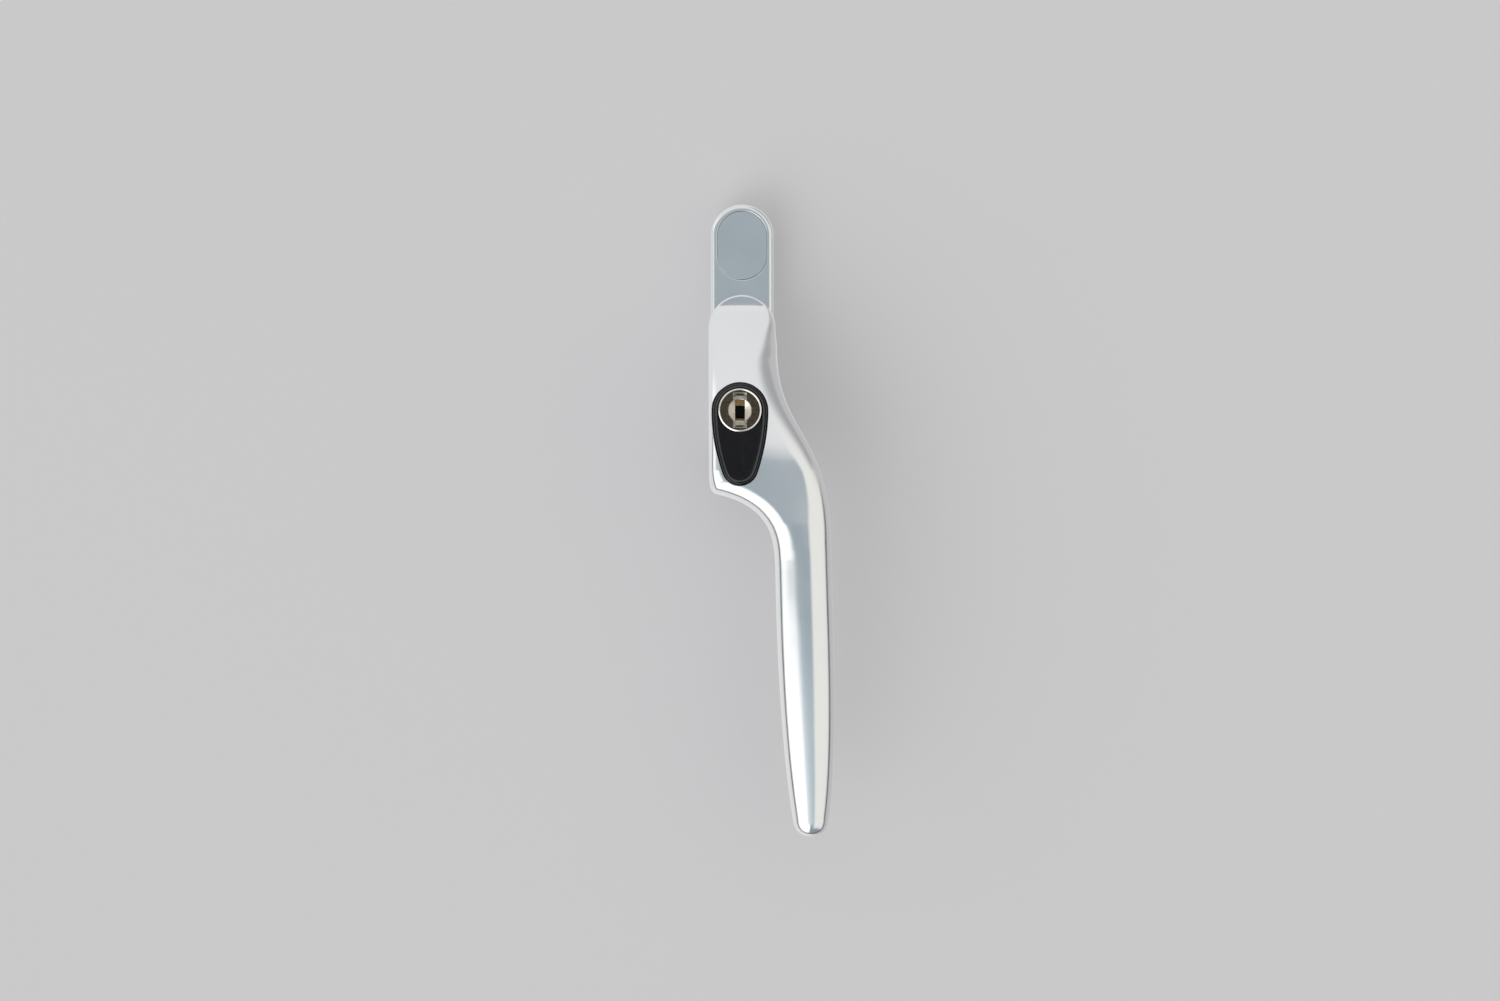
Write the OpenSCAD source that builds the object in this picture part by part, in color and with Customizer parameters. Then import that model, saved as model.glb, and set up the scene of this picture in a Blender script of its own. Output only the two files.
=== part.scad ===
// Cranked window handle with a push-to-lock key cylinder.
// Millimetres. +Z is up the window, the front faces -Y, and +X is to the right from the front.
// The origin is on the spindle axis, at the back face of the base plate.
// Every sub-part is drawn in plan, with x to the right, y up the window and z out into the room,
// and stand() turns the plan upright.

/* [Base plate] */
// Width of the base plate
plate_w = 16.2; // [15.9:0.1:16.6]
// Length of the base plate
plate_len = 64.4; // [63:0.1:68]
// Thickness of the base plate
plate_t = 10; // [10:0.1:10.4]
// Rounding of the plate's front edge
plate_edge_r = 1.2; // [0.4:0.1:1.4]
// Distance between the two fixing screws
screw_pitch = 43; // [42.6:0.1:43.4]

/* [Lever] */
// Radius of the lever's nose, round the spindle
nose_r = 8.6; // [8.4:0.1:9]
// Lowest point of the grip, below the spindle
tip_y = -130; // [-140:1:-128]
// Distance of the grip's front from the plate's back face
grip_front = 33.6; // [33.2:0.1:35]
// Thickness of the grip
grip_t = 12; // [11:0.5:13]
// Rounding of the lever's long edges
edge_r = 3.7; // [3:0.1:3.8]
// How far the lever's front bulges between its edges
crown = 1.4; // [0.4:0.1:2]

/* [Spindle and screws] */
// Width of the square spindle
spindle_w = 7; // [6.8:0.1:7]
// How far the spindle reaches behind the plate
spindle_out = 30; // [15:1:55]
// Thread diameter of the fixing screws
screw_d = 5; // [4.6:0.1:5.2]
// How far the fixing screws reach behind the plate
screw_out = 25; // [10:1:40]

/* [Lock] */
// Radius of the button's pocket, round the cylinder
pocket_r = 7.05; // [7:0.05:7.2]
// Play between the button and its pocket, all round
button_gap = 0.3; // [0.2:0.05:0.35]
// How far the button is pushed in to lock the handle
button_travel = 2.6; // [2:0.1:2.8]
// How far a quarter turn of the key draws the latch back
latch_travel = 1; // [0.8:0.05:1]
// Diameter of the cylinder's face
cylinder_face_d = 11.1; // [10.9:0.1:11.3]

/* [Hidden] */

$fn = 72;
// Overshoot of a cut past the face that it opens, and of a join into its neighbour
over = 0.5;
// Radial play of a seated part, and of one that turns
seat_play = 0.02;
run_play = 0.05;

metal = [0.78, 0.80, 0.81];
steel = [0.62, 0.63, 0.65];
nickel = [0.55, 0.51, 0.45];
brass = [0.70, 0.55, 0.28];
black = [0.10, 0.10, 0.11];
nylon = [0.90, 0.89, 0.85];

// Fixing screws, and the plate's holes for them
screw_ys = [screw_pitch / 2, -screw_pitch / 2];
screw_head_d = 9.2;
screw_head_top = 5;
screw_rim_h = 0.4;
screw_cone_top = screw_head_top - screw_rim_h;
screw_neck_d = screw_d - 0.6;
screw_point_h = 2;
screw_play = 0.1;
counterbore_d = 10.4;
recess_arm_l = 4.6;
recess_arm_w = 1.1;
recess_depth = 1.8;

// Screw cap
cap_w = 12.6;
cap_len = 17.6;
cap_t = 1.3;
cap_edge_r = 0.25;
cap_gap = 0.12;
cap_leg_d = 10;
cap_leg_t = 1;
cap_leg_h = 2.6;

// Bearing of the lever in the plate
lever_bottom = plate_t + 0.5;
boss_d = 11.6;
boss_bottom = 1.2;
bush_d = 13.2;
bush_flange_d = 15;
bush_flange_t = 0.45;
recess_d = 14;
recess_h = 6.5;
clip_z = 2.4;
clip_t = 1;
clip_d = 13.2;
clip_gap_w = 5;
groove_d = 10.7;
washer_d = 13.6;
washer_t = 0.9;
washer_play = 0.2;
wave_t = 0.35;
wave_h = 1.8;

// Spindle and its cross pin
socket_top = 12;
spindle_corner_d = 1.34 * spindle_w;
spindle_pin_d = 2;
spindle_pin_l = 11.2;
spindle_pin_z = 8;

// Lever in side view
toe_y = 5.2;
lip_z = plate_t + 1.9;
crest_y = -34;
crest_z = 33;
flank_y = -36;
grip_y = -60;
tip_h = 4;
tip_drop = 1.8;
tip_back_rise = 0.8;

// The back edges are nearly sharp under the hub and round on the grip, and the grip's back bulges
hub_back_r = 0.4;
back_round_start = -38;
back_round_end = -56;
back_crown_max = 0.8;
back_crown_start = -44;
back_crown_end = -60;
// Limits of the rounding and the bulge where the lever is thin or narrow, as shares of its size there
round_share = 0.42;
crown_share = 0.08;
reach_share = 0.8;

// Lock axis, and the teardrop: a round top, two long side arcs and a round tip, all tangent
lock_x = -0.5;
lock_y = -21.7;
side_r = 48;
teardrop_len = 19.05;
side_centre = side_r - pocket_r;
tip_r = (pow(side_r, 2) - pow(side_centre, 2) - pow(teardrop_len, 2)) / (2 * (side_r - teardrop_len));
tip_centre = teardrop_len - tip_r;

// Levels in the lock at rest, from the plate outwards
bolt_bottom = lever_bottom + 0.3;
well_floor = 12.5;
pocket_floor = 16;
web_bottom = 19.5;
web_top = 21.3;
latch_z = 21.4;
journal_bottom = 22.9;
plug_clip_z = 23.3;
cylinder_bottom = 24;
cylinder_head_z = 31.5;
cylinder_top = 34.1;
face_top_z = 32.6;
face_tip_z = 36;

bolt_d = 8;
bolt_play = 0.1;
bolt_nose_h = 0.7;
stud_d = 4;
well_d = 12.2;
latch_t = 1.3;
latch_w = 4.6;
latch_in = 3.8;
latch_out = 0.9;
latch_chamfer = 0.5;
latch_play = 0.1;
latch_slot_end = 0.5;
latch_groove_play = 0.3;
latch_spring_seat = pocket_r - button_gap - 0.85;
latch_spring_bore_d = 1.4;
cylinder_body_d = 9.4;
cylinder_wall = 1.2;
aperture_d = 5.7;
aperture_w = 3.1;
aperture_h = 9;
aperture_ramp = 0.9;
plug_d = 7.4;
plug_end_play = 0.1;
journal_d = 5;
journal_groove_d = 4.4;
key_slot_w = 2.5;
key_slot_h = 5.4;
key_slot_floor = 0.4;
plug_clip_d = 7.2;
plug_clip_t = 0.5;
plug_clip_gap_w = 3.6;

// The drive pin sits off the plug's axis, so that a quarter turn moves the latch by its travel
drive_pin_d = 1.6;
drive_pin_e = latch_travel / (2 * sin(45));

// Wafers: the window of each is cut at its own height, to suit one key
wafer_cuts = [0.3, 0, 0.2, 0.4, 0];
wafer_pitch = 1.3;
wafer_first_z = 25.9;
wafer_t = 0.8;
wafer_w = 4.6;
wafer_h = 5.6;
wafer_window_h = 3.7;
wafer_window_y = -2.5;
wafer_notch_w = 0.9;
wafer_notch_h = 1.6;
wafer_play = 0.05;

// Stop pin, pressed in from the underside of the crank and reaching into the button's tail
stop_pin_d = 2;
stop_pin_z = 22.5;
stop_pin_end_y = -37.6;
stop_pin_l = 6.2;
stop_slot_play = 0.1;
stop_slot_end_play = 0.6;

// Springs: mean diameter of the coil, and diameter of the wire
button_spring_d = 10.2;
button_spring_wire = 0.6;
latch_spring_d = 1;
latch_spring_wire = 0.25;
wafer_spring_d = 0.55;
wafer_spring_wire = 0.15;

// ---------- helpers ----------

module stand() {
    rotate([90, 0, 0]) children();
}

module at_lock(z) {
    translate([lock_x, lock_y, z]) children();
}

module ring(outer_d, inner_d, h) {
    difference() {
        cylinder(d = outer_d, h = h);
        translate([0, 0, -over]) cylinder(d = inner_d, h = h + 2 * over);
    }
}

module obround(w, length) {
    square([w, length - w], center = true);
    for (s = [-1, 1]) {
        translate([0, s * (length - w) / 2]) circle(d = w);
    }
}

// Half of a slab's section, with its outer front corner rounded
module slab_section(w, h, r) {
    square([w / 2 - r, h]);
    square([w / 2, h - r]);
    translate([w / 2 - r, h - r]) intersection() {
        circle(r);
        square(r);
    }
}

// Obround slab along y, rounded round its front edge
module slab(w, length, h, r) {
    rotate([90, 0, 0]) linear_extrude(length - w, center = true) {
        slab_section(w, h, r);
        mirror([1, 0]) slab_section(w, h, r);
    }
    for (s = [-1, 1]) {
        translate([0, s * (length - w) / 2, 0]) rotate_extrude() slab_section(w, h, r);
    }
}

// The pocket's outline, grown by g all round
module teardrop(g) {
    side_end = (side_r + g) * tip_centre / (side_r - tip_r);
    circle(pocket_r + g);
    translate([0, -tip_centre]) circle(tip_r + g);
    intersection() {
        translate([-side_centre, 0]) circle(side_r + g, $fn = 240);
        translate([side_centre, 0]) circle(side_r + g, $fn = 240);
        translate([-pocket_r - 1, -side_end]) square([2 * pocket_r + 2, side_end]);
    }
}

function mix(a, b, t) = a + (b - a) * t;
function clamp01(t) = min(1, max(0, t));
function unit(v) = v / norm(v);
function reversed(v) = [for (i = [len(v) - 1:-1:0]) v[i]];
function total(v, i = 0) = i == len(v) ? [0, 0] : v[i] + total(v, i + 1);
function bezier_at(p, t) =
    pow(1 - t, 3) * p[0] + 3 * t * pow(1 - t, 2) * p[1] + 3 * t * t * (1 - t) * p[2] + pow(t, 3) * p[3];
// Points along a curve after its first, at n equal steps
function bezier(p, n) = [for (i = [1:n]) bezier_at(p, i / n)];
// Share of the way that y has gone from the start to the end height, from 0 to 1
function share(y, start, end) = clamp01((y - start) / (end - start));

// Closed skin over a stack of loops, each seen anticlockwise from the side that the stack grows to
module skin(loops, cap) {
    n = len(loops[0]);
    last = (len(loops) - 1) * n;
    walls = [
        for (j = [0:len(loops) - 2])
            for (k = [0:n - 1])
                let (a = j * n + k, b = j * n + (k + 1) % n)
                    each [[a, b + n, b], [a, a + n, b + n]]
    ];
    end_cap = [for (f = cap) [for (i = reversed(f)) i + last]];
    polyhedron([for (loop = loops) each loop], concat(walls, cap, end_cap));
}

// Coil of round wire that stands on z = 0, with so many steps to a turn
module coil(mean_d, wire, length, turns, turn_steps = 18, sides = 6) {
    steps = turn_steps * turns;
    loops = [
        for (i = [0:steps])
            let (a = 360 * turns * i / steps, z = mix(wire / 2, length - wire / 2, i / steps))
                [
                    for (k = [0:sides - 1])
                        let (b = -360 * k / sides, r = (mean_d + wire * cos(b)) / 2)
                            [r * cos(a), r * sin(a), z + wire / 2 * sin(b)]
                ]
    ];
    skin(loops, [for (k = [1:sides - 2]) [0, k, k + 1]]);
}

// ---------- the lever's surface ----------

// Left side of the lever, down from the nose: hub, lower corner, underside of the crank, grip
left_points = concat(
    [for (i = [0:10]) mix([-nose_r, 0], [-8.35, flank_y], i / 10)],
    bezier([[-8.35, flank_y], [-8.3, -40], [-8.5, -42.4], [-6.4, -43]], 7),
    bezier([[-6.4, -43], [8.6, -46.4], [8.2, -56], [8.5, -62]], 14),
    bezier([[8.5, -62], [8.9, -82], [9.9, tip_y + 23], [13, tip_y + tip_h]], 12)
);
right_curve = concat(
    [[nose_r, 0]],
    bezier([[nose_r, 0], [nose_r, -2], [9, -4], [9, -6]], 4),
    bezier([[9, -6], [9, -27.5], [22, -26.5], [22.6, -54.5]], 40),
    bezier([[22.6, -54.5], [23, -74], [24.7, tip_y + 23], [22.1, tip_y + tip_h]], 24)
);
// The same heights on the right side, so that each pair is one level slice of the lever
right_by_height = [for (p = reversed(right_curve)) [p.y, p.x]];
right_points = [for (p = left_points) [lookup(p.y, right_by_height), p.y]];
slices = len(left_points);
tip_mid = (left_points[slices - 1] + right_points[slices - 1]) / 2;

// Side view, as height up the window and distance from the plate's back face. lookup() wants
// rising keys, so each curve is also kept reversed.
front_curve = concat(
    [[nose_r, lip_z], [toe_y, lip_z]],
    bezier([[toe_y, lip_z], [-9.5, 24.6], [-17, 31.2], [crest_y, crest_z]], 40),
    bezier([[crest_y, crest_z], [-36, crest_z + 0.2], [-40, grip_front - 0.25], [grip_y, grip_front]], 16),
    bezier([[grip_y, grip_front], [-85, grip_front + 0.3], [-105, grip_front],
        [tip_y, grip_front - tip_drop]], 12)
);
grip_back = grip_front - grip_t;
back_curve = concat(
    [[nose_r, lever_bottom], [flank_y, lever_bottom]],
    bezier([[flank_y, lever_bottom], [-46, lever_bottom], [-45, grip_back], [grip_y, grip_back]], 16),
    [[tip_y, grip_back + tip_back_rise]]
);
front_by_height = reversed(front_curve);
back_by_height = reversed(back_curve);
function front_z(y) = lookup(y, front_by_height);
function back_z(y) = lookup(y, back_by_height);
function thickness(y) = front_z(y) - back_z(y);
function back_edge_r(y) = mix(hub_back_r, edge_r, share(y, back_round_start, back_round_end));
function back_crown(y) = back_crown_max * share(y, back_crown_start, back_crown_end);

// Inward direction at slice i of a side, averaged over its neighbours to keep tight corners open
function slice_index(i) = min(slices - 1, max(0, i));
function inward(points, i, side) =
    let (t = unit(points[slice_index(i + 1)] - points[slice_index(i - 1)])) side * [-t.y, t.x];
function smooth_inward(points, i, side) =
    unit(total([for (k = [-3:3]) inward(points, slice_index(i + k), side)]));

// Stations round the lever, anticlockwise: [edge point, spine point, inward direction]
nose_steps = 12;
tip_steps = 5;
function to_spine(edge, spine) = [edge, spine, unit(spine - edge)];
tip_end = [tip_mid.x, tip_y];
tip_left = bezier([left_points[slices - 1], [13.42, tip_y + 1.4], [14.9, tip_y], tip_end], tip_steps);
tip_right = bezier([tip_end, [20.3, tip_y], [21.75, tip_y + 1.4], right_points[slices - 1]], tip_steps);
tip_points = concat(tip_left, [for (i = [0:tip_steps - 2]) tip_right[i]]);
stations = concat(
    [for (i = [1:nose_steps - 1]) let (a = 180 * i / nose_steps) to_spine(nose_r * [cos(a), sin(a)], [0, 0])],
    [
        for (i = [0:slices - 1])
            [left_points[i], (left_points[i] + right_points[i]) / 2, smooth_inward(left_points, i, 1)]
    ],
    [for (p = tip_points) to_spine(p, tip_mid)],
    [
        for (i = [slices - 1:-1:0])
            [right_points[i], (left_points[i] + right_points[i]) / 2, smooth_inward(right_points, i, -1)]
    ]
);
left_start = nose_steps - 1;
tip_start = left_start + slices;
right_start = tip_start + len(tip_points);
function left_at(i) = left_start + i;
function right_at(i) = right_start + slices - 1 - i;

// A point at arc angle a on the rounding (0 at the side, 90 on the face), or g of the way to the spine
function inset_point(s, r, a, g) = mix(s[0] + r * (1 - cos(a)) * s[2], s[1], g);
function bulge(s, p) = 1 - pow(norm(p - s[1]) / norm(s[0] - s[1]), 2);
function front_r(s) = min(edge_r, round_share * thickness(s[0].y), reach_share * norm(s[1] - s[0]));
function back_r(s) = min(back_edge_r(s[0].y), reach_share * norm(s[1] - s[0]));
function front_crown(y) = min(crown, crown_share * thickness(y));
function front_point(s, a, g) =
    let (r = front_r(s), p = inset_point(s, r, a, g))
        [p.x, p.y, front_z(p.y) + front_crown(p.y) * bulge(s, p) - r * (1 - sin(a))];
function back_point(s, a, g) =
    let (r = back_r(s), p = inset_point(s, r, a, g))
        [p.x, p.y, back_z(p.y) - back_crown(p.y) * bulge(s, p) + r * (1 - sin(a))];

module lever_skin() {
    loops = concat(
        [for (g = [0.8, 0.4]) [for (s = stations) back_point(s, 90, g)]],
        [for (a = [90, 60, 30, 0]) [for (s = stations) back_point(s, a, 0)]],
        [for (a = [0:18:90]) [for (s = stations) front_point(s, a, 0)]],
        [for (g = [0.2, 0.4, 0.6, 0.8]) [for (s = stations) front_point(s, 90, g)]]
    );
    nose_cap = [for (k = [0:left_start - 1]) [right_at(0), k, k + 1]];
    strip = [
        for (i = [0:slices - 2])
            each [
                [left_at(i), left_at(i + 1), right_at(i + 1)],
                [left_at(i), right_at(i + 1), right_at(i)]
            ]
    ];
    tip_cap = [for (k = [tip_start:right_start - 1]) [left_at(slices - 1), k, k + 1]];
    skin(loops, concat(nose_cap, strip, tip_cap));
}

// ---------- plate, bearing and fixings ----------

module base_plate() {
    color(metal) stand() difference() {
        slab(plate_w, plate_len, plate_t, plate_edge_r);
        translate([0, 0, -over]) cylinder(d = bush_d + 2 * seat_play, h = plate_t + 2 * over);
        translate([0, 0, -over]) cylinder(d = recess_d, h = recess_h + over);
        for (y = screw_ys) {
            translate([0, y, 0]) screw_hole();
        }
        translate([0, screw_ys[0], plate_t - cap_t - cap_gap])
            linear_extrude(cap_t + over) obround(cap_w + 2 * cap_gap, cap_len + 2 * cap_gap);
    }
}

module screw_hole() {
    cone_h = (screw_head_d - screw_d) / 2;
    translate([0, 0, -over]) cylinder(d = screw_d + 2 * screw_play, h = plate_t);
    translate([0, 0, screw_cone_top - cone_h])
        cylinder(d1 = screw_d + 2 * screw_play, d2 = screw_head_d + 2 * screw_play, h = cone_h);
    translate([0, 0, screw_cone_top]) cylinder(d = counterbore_d, h = plate_t);
}

module screw_cap() {
    color(metal) stand() translate([0, screw_ys[0], plate_t - cap_t]) {
        slab(cap_w, cap_len, cap_t, cap_edge_r);
        translate([0, 0, -cap_leg_h]) ring(cap_leg_d, cap_leg_d - 2 * cap_leg_t, cap_leg_h);
    }
}

module fixing_screws() {
    color(steel) stand() for (y = screw_ys) {
        translate([0, y, 0]) fixing_screw();
    }
}

// Countersunk screw with a plain neck inside the plate and its thread behind it
module fixing_screw() {
    cone_h = (screw_head_d - screw_neck_d) / 2;
    cone_z = screw_cone_top - cone_h;
    difference() {
        union() {
            translate([0, 0, -screw_out - screw_point_h])
                cylinder(d1 = screw_d / 2, d2 = screw_d, h = screw_point_h);
            translate([0, 0, -screw_out]) cylinder(d = screw_d, h = screw_out);
            cylinder(d = screw_neck_d, h = cone_z);
            translate([0, 0, cone_z]) cylinder(d1 = screw_neck_d, d2 = screw_head_d, h = cone_h);
            translate([0, 0, screw_cone_top]) cylinder(d = screw_head_d, h = screw_rim_h);
        }
        for (a = [0, 90]) {
            rotate([0, 0, a]) translate([0, 0, screw_head_top])
                cube([recess_arm_l, recess_arm_w, 2 * recess_depth], center = true);
        }
    }
}

module bearing_bush() {
    color(nylon) stand() {
        translate([0, 0, recess_h]) ring(bush_d, boss_d + 2 * run_play, plate_t - recess_h);
        translate([0, 0, plate_t]) ring(bush_flange_d, boss_d + 2 * run_play, bush_flange_t);
    }
}

module thrust_washer() {
    color(steel) stand() translate([0, 0, recess_h - run_play - washer_t])
        ring(washer_d, boss_d + 2 * washer_play, washer_t);
}

// Three waves round the ring, between the clip and the thrust washer
module wave_washer() {
    inner_r = boss_d / 2 + washer_play;
    outer_r = (washer_d - washer_play) / 2;
    middle_z = (clip_z + clip_t + recess_h - run_play - washer_t) / 2;
    segments = 72;
    function wave_point(a, r, lift) = [
        r * cos(a),
        r * sin(a),
        middle_z + (wave_h - wave_t) / 2 * cos(3 * a) + lift
    ];
    points = [
        for (i = [0:segments - 1])
            let (a = 360 * i / segments)
                each [
                    wave_point(a, inner_r, -wave_t / 2),
                    wave_point(a, outer_r, -wave_t / 2),
                    wave_point(a, outer_r, wave_t / 2),
                    wave_point(a, inner_r, wave_t / 2)
                ]
    ];
    faces = [
        for (i = [0:segments - 1])
            for (k = [0:3])
                let (a = 4 * i + k, b = 4 * i + (k + 1) % 4, step = i == segments - 1 ? -4 * i : 4)
                    each [[a, b, b + step], [a, b + step, a + step]]
    ];
    color(steel) stand() polyhedron(points, faces);
}

// Open ring that snaps into the groove at the end of the lever's boss
module retaining_clip() {
    color(steel) stand() translate([0, 0, clip_z]) difference() {
        ring(clip_d, groove_d + 2 * seat_play, clip_t);
        translate([0, -clip_d / 2, clip_t / 2]) cube([clip_gap_w, clip_d, 2 * clip_t], center = true);
    }
}

// ---------- lever and spindle ----------

module handle_lever() {
    color(metal) stand() difference() {
        union() {
            lever_skin();
            translate([0, 0, boss_bottom]) cylinder(d = boss_d, h = lever_bottom + over - boss_bottom);
        }
        spindle_socket();
        translate([0, 0, clip_z]) ring(boss_d + 2 * over, groove_d, clip_t);
        translate([0, 0, spindle_pin_z]) rotate([0, 90, 0])
            cylinder(d = spindle_pin_d + 2 * seat_play, h = boss_d + 2 * over, center = true);
        at_lock(lever_bottom - over) cylinder(d = bolt_d + 2 * bolt_play, h = pocket_floor - lever_bottom);
        at_lock(well_floor) cylinder(d = well_d, h = pocket_floor - well_floor + over);
        at_lock(pocket_floor) linear_extrude(grip_front) teardrop(0);
        latch_groove();
        translate([lock_x, stop_pin_end_y, stop_pin_z]) rotate([90, 0, 0])
            cylinder(d = stop_pin_d + 2 * seat_play, h = 2 * stop_pin_l);
    }
}

module spindle_socket() {
    w = spindle_w + 2 * seat_play;
    translate([-w / 2, -w / 2, boss_bottom - over]) cube([w, w, socket_top - boss_bottom + over]);
}

// Groove in the pocket's wall for the latch, as long as the button's travel
module latch_groove() {
    start = pocket_r - 2 * over;
    end = pocket_r - button_gap + latch_out + latch_groove_play;
    groove_w = latch_w + 2 * latch_groove_play;
    at_lock(latch_z - button_travel - latch_groove_play) translate([start, -groove_w / 2, 0])
        cube([end - start, groove_w, latch_t + button_travel + 2 * latch_groove_play]);
}

module spindle() {
    color(steel) stand() difference() {
        intersection() {
            translate([-spindle_w / 2, -spindle_w / 2, -spindle_out])
                cube([spindle_w, spindle_w, spindle_out + socket_top - seat_play]);
            translate([0, 0, -spindle_out]) cylinder(d = spindle_corner_d, h = spindle_out + socket_top);
        }
        translate([0, 0, spindle_pin_z]) rotate([0, 90, 0])
            cylinder(d = spindle_pin_d + 2 * seat_play, h = 2 * spindle_w, center = true);
    }
}

module spindle_pin() {
    color(steel) stand() translate([0, 0, spindle_pin_z]) rotate([0, 90, 0])
        cylinder(d = spindle_pin_d, h = spindle_pin_l, center = true);
}

module button_stop_pin() {
    color(steel) stand() translate([lock_x, stop_pin_end_y, stop_pin_z]) rotate([90, 0, 0])
        cylinder(d = stop_pin_d, h = stop_pin_l);
}

// ---------- lock ----------

module lock_button() {
    bore_d = cylinder_body_d + 2 * seat_play;
    color(black) stand() difference() {
        intersection() {
            at_lock(web_bottom) linear_extrude(face_tip_z) teardrop(-button_gap);
            button_slope();
        }
        at_lock(web_bottom - over) cylinder(d = stud_d + 2 * seat_play, h = web_top);
        at_lock(web_top) cylinder(d = bore_d, h = face_tip_z);
        at_lock(cylinder_head_z) cylinder(d = cylinder_face_d + 2 * seat_play, h = face_tip_z);
        latch_channel();
        stop_slot();
    }
}

// Everything below the button's sloping face
module button_slope() {
    top_y = lock_y + pocket_r;
    tip_end_y = lock_y - teardrop_len;
    translate([lock_x - 2 * pocket_r, 0, 0]) rotate([90, 0, 90]) linear_extrude(4 * pocket_r)
        polygon([[top_y, web_bottom], [top_y, face_top_z], [tip_end_y, face_tip_z], [tip_end_y, web_bottom]]);
}

// Channel for the latch, with room to draw it back, and a bore behind it for its spring
module latch_channel() {
    channel_w = latch_w + 2 * latch_play;
    channel_in = latch_in + latch_travel + latch_play;
    at_lock(web_top) translate([-channel_in, -channel_w / 2, 0])
        cube([channel_in + pocket_r + over, channel_w, latch_t + 2 * latch_play]);
    at_lock(latch_z + latch_t / 2) rotate([0, -90, 0])
        cylinder(d = latch_spring_bore_d, h = latch_spring_seat);
}

module stop_slot() {
    slot_w = stop_pin_d + 2 * stop_slot_play;
    start = lock_y - teardrop_len - over;
    end = stop_pin_end_y + stop_slot_end_play;
    translate([lock_x - slot_w / 2, start, stop_pin_z - slot_w / 2])
        cube([slot_w, end - start, slot_w + button_travel]);
}

module lock_cylinder() {
    color(nickel) stand() difference() {
        union() {
            at_lock(cylinder_bottom) cylinder(d = cylinder_body_d, h = cylinder_head_z - cylinder_bottom);
            at_lock(cylinder_head_z) cylinder(d = cylinder_face_d, h = cylinder_top - cylinder_head_z);
        }
        at_lock(cylinder_bottom + cylinder_wall)
            cylinder(d = plug_d + 2 * run_play, h = cylinder_top - cylinder_bottom - 2 * cylinder_wall);
        at_lock(cylinder_bottom - over) cylinder(d = journal_d + 2 * run_play, h = cylinder_wall + 2 * over);
        at_lock(cylinder_top - 2 * cylinder_wall) cylinder(d = aperture_d, h = 3 * cylinder_wall);
        key_aperture();
    }
}

// Flat lead-in for the key, which narrows from the face down to the plug
module key_aperture() {
    top = cylinder_top;
    low = cylinder_top - cylinder_wall;
    outer = aperture_h / 2;
    inner = outer - aperture_ramp;
    translate([lock_x - aperture_w / 2, lock_y, 0]) rotate([90, 0, 90]) linear_extrude(aperture_w)
        polygon([
            [-inner, low - over], [-inner, low], [-outer, top], [-outer, top + over],
            [outer, top + over], [outer, top], [inner, low], [inner, low - over]
        ]);
}

module lock_bolt() {
    color(steel) stand() {
        at_lock(bolt_bottom) cylinder(d1 = bolt_d - 2 * bolt_nose_h, d2 = bolt_d, h = bolt_nose_h);
        at_lock(bolt_bottom + bolt_nose_h) cylinder(d = bolt_d, h = web_bottom - bolt_bottom - bolt_nose_h);
        at_lock(web_bottom) cylinder(d = stud_d, h = web_top - web_bottom);
    }
}

module button_spring() {
    color(steel) stand() at_lock(well_floor)
        coil(button_spring_d, button_spring_wire, web_bottom - well_floor, 5);
}

// Open clip in the groove of the plug's journal, under the cylinder
module plug_clip() {
    color(steel) stand() at_lock(plug_clip_z) difference() {
        ring(plug_clip_d, journal_groove_d + 2 * seat_play, plug_clip_t);
        translate([0, plug_clip_d / 2, plug_clip_t / 2])
            cube([plug_clip_gap_w, plug_clip_d, 2 * plug_clip_t], center = true);
    }
}

module key_plug() {
    plug_z = cylinder_bottom + cylinder_wall + plug_end_play;
    plug_top = cylinder_top - cylinder_wall - plug_end_play;
    color(nickel) stand() difference() {
        union() {
            at_lock(plug_z) cylinder(d = plug_d, h = plug_top - plug_z);
            at_lock(journal_bottom) cylinder(d = journal_d, h = plug_z - journal_bottom);
            at_lock(latch_z + latch_play) rotate([0, 0, -45]) translate([drive_pin_e, 0, 0])
                cylinder(d = drive_pin_d, h = journal_bottom - latch_z - latch_play);
        }
        at_lock(plug_clip_z) ring(journal_d + 2 * over, journal_groove_d, plug_clip_t);
        at_lock(plug_z + key_slot_floor) translate([-key_slot_w / 2, -key_slot_h / 2, 0])
            cube([key_slot_w, key_slot_h, plug_top]);
        for (i = [0:len(wafer_cuts) - 1]) {
            at_lock(wafer_first_z + i * wafer_pitch - wafer_play)
                translate([-wafer_w / 2 - wafer_play, -wafer_h / 2 - wafer_play, 0])
                    cube([wafer_w + 2 * wafer_play, wafer_h / 2 + plug_d, wafer_t + 2 * wafer_play]);
        }
    }
}

module wafer_tumblers() {
    color(brass) stand() for (i = [0:len(wafer_cuts) - 1]) {
        at_lock(wafer_first_z + i * wafer_pitch) wafer(wafer_cuts[i]);
    }
}

module wafer(cut) {
    difference() {
        translate([-wafer_w / 2, -wafer_h / 2, 0]) cube([wafer_w, wafer_h, wafer_t]);
        translate([-key_slot_w / 2, wafer_window_y + cut, -over])
            cube([key_slot_w, wafer_window_h, wafer_t + 2 * over]);
        translate([wafer_w / 2 - wafer_notch_w, -wafer_h / 2 - over, -over])
            cube([wafer_notch_w + over, wafer_notch_h + over, wafer_t + 2 * over]);
    }
}

module wafer_springs() {
    color(steel) stand() for (i = [0:len(wafer_cuts) - 1]) {
        at_lock(wafer_first_z + i * wafer_pitch + wafer_t / 2)
            translate([(wafer_w - wafer_notch_w) / 2, -wafer_h / 2, 0])
                rotate([-90, 0, 0]) coil(wafer_spring_d, wafer_spring_wire, wafer_notch_h, 3, 8, 4);
    }
}

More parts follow.
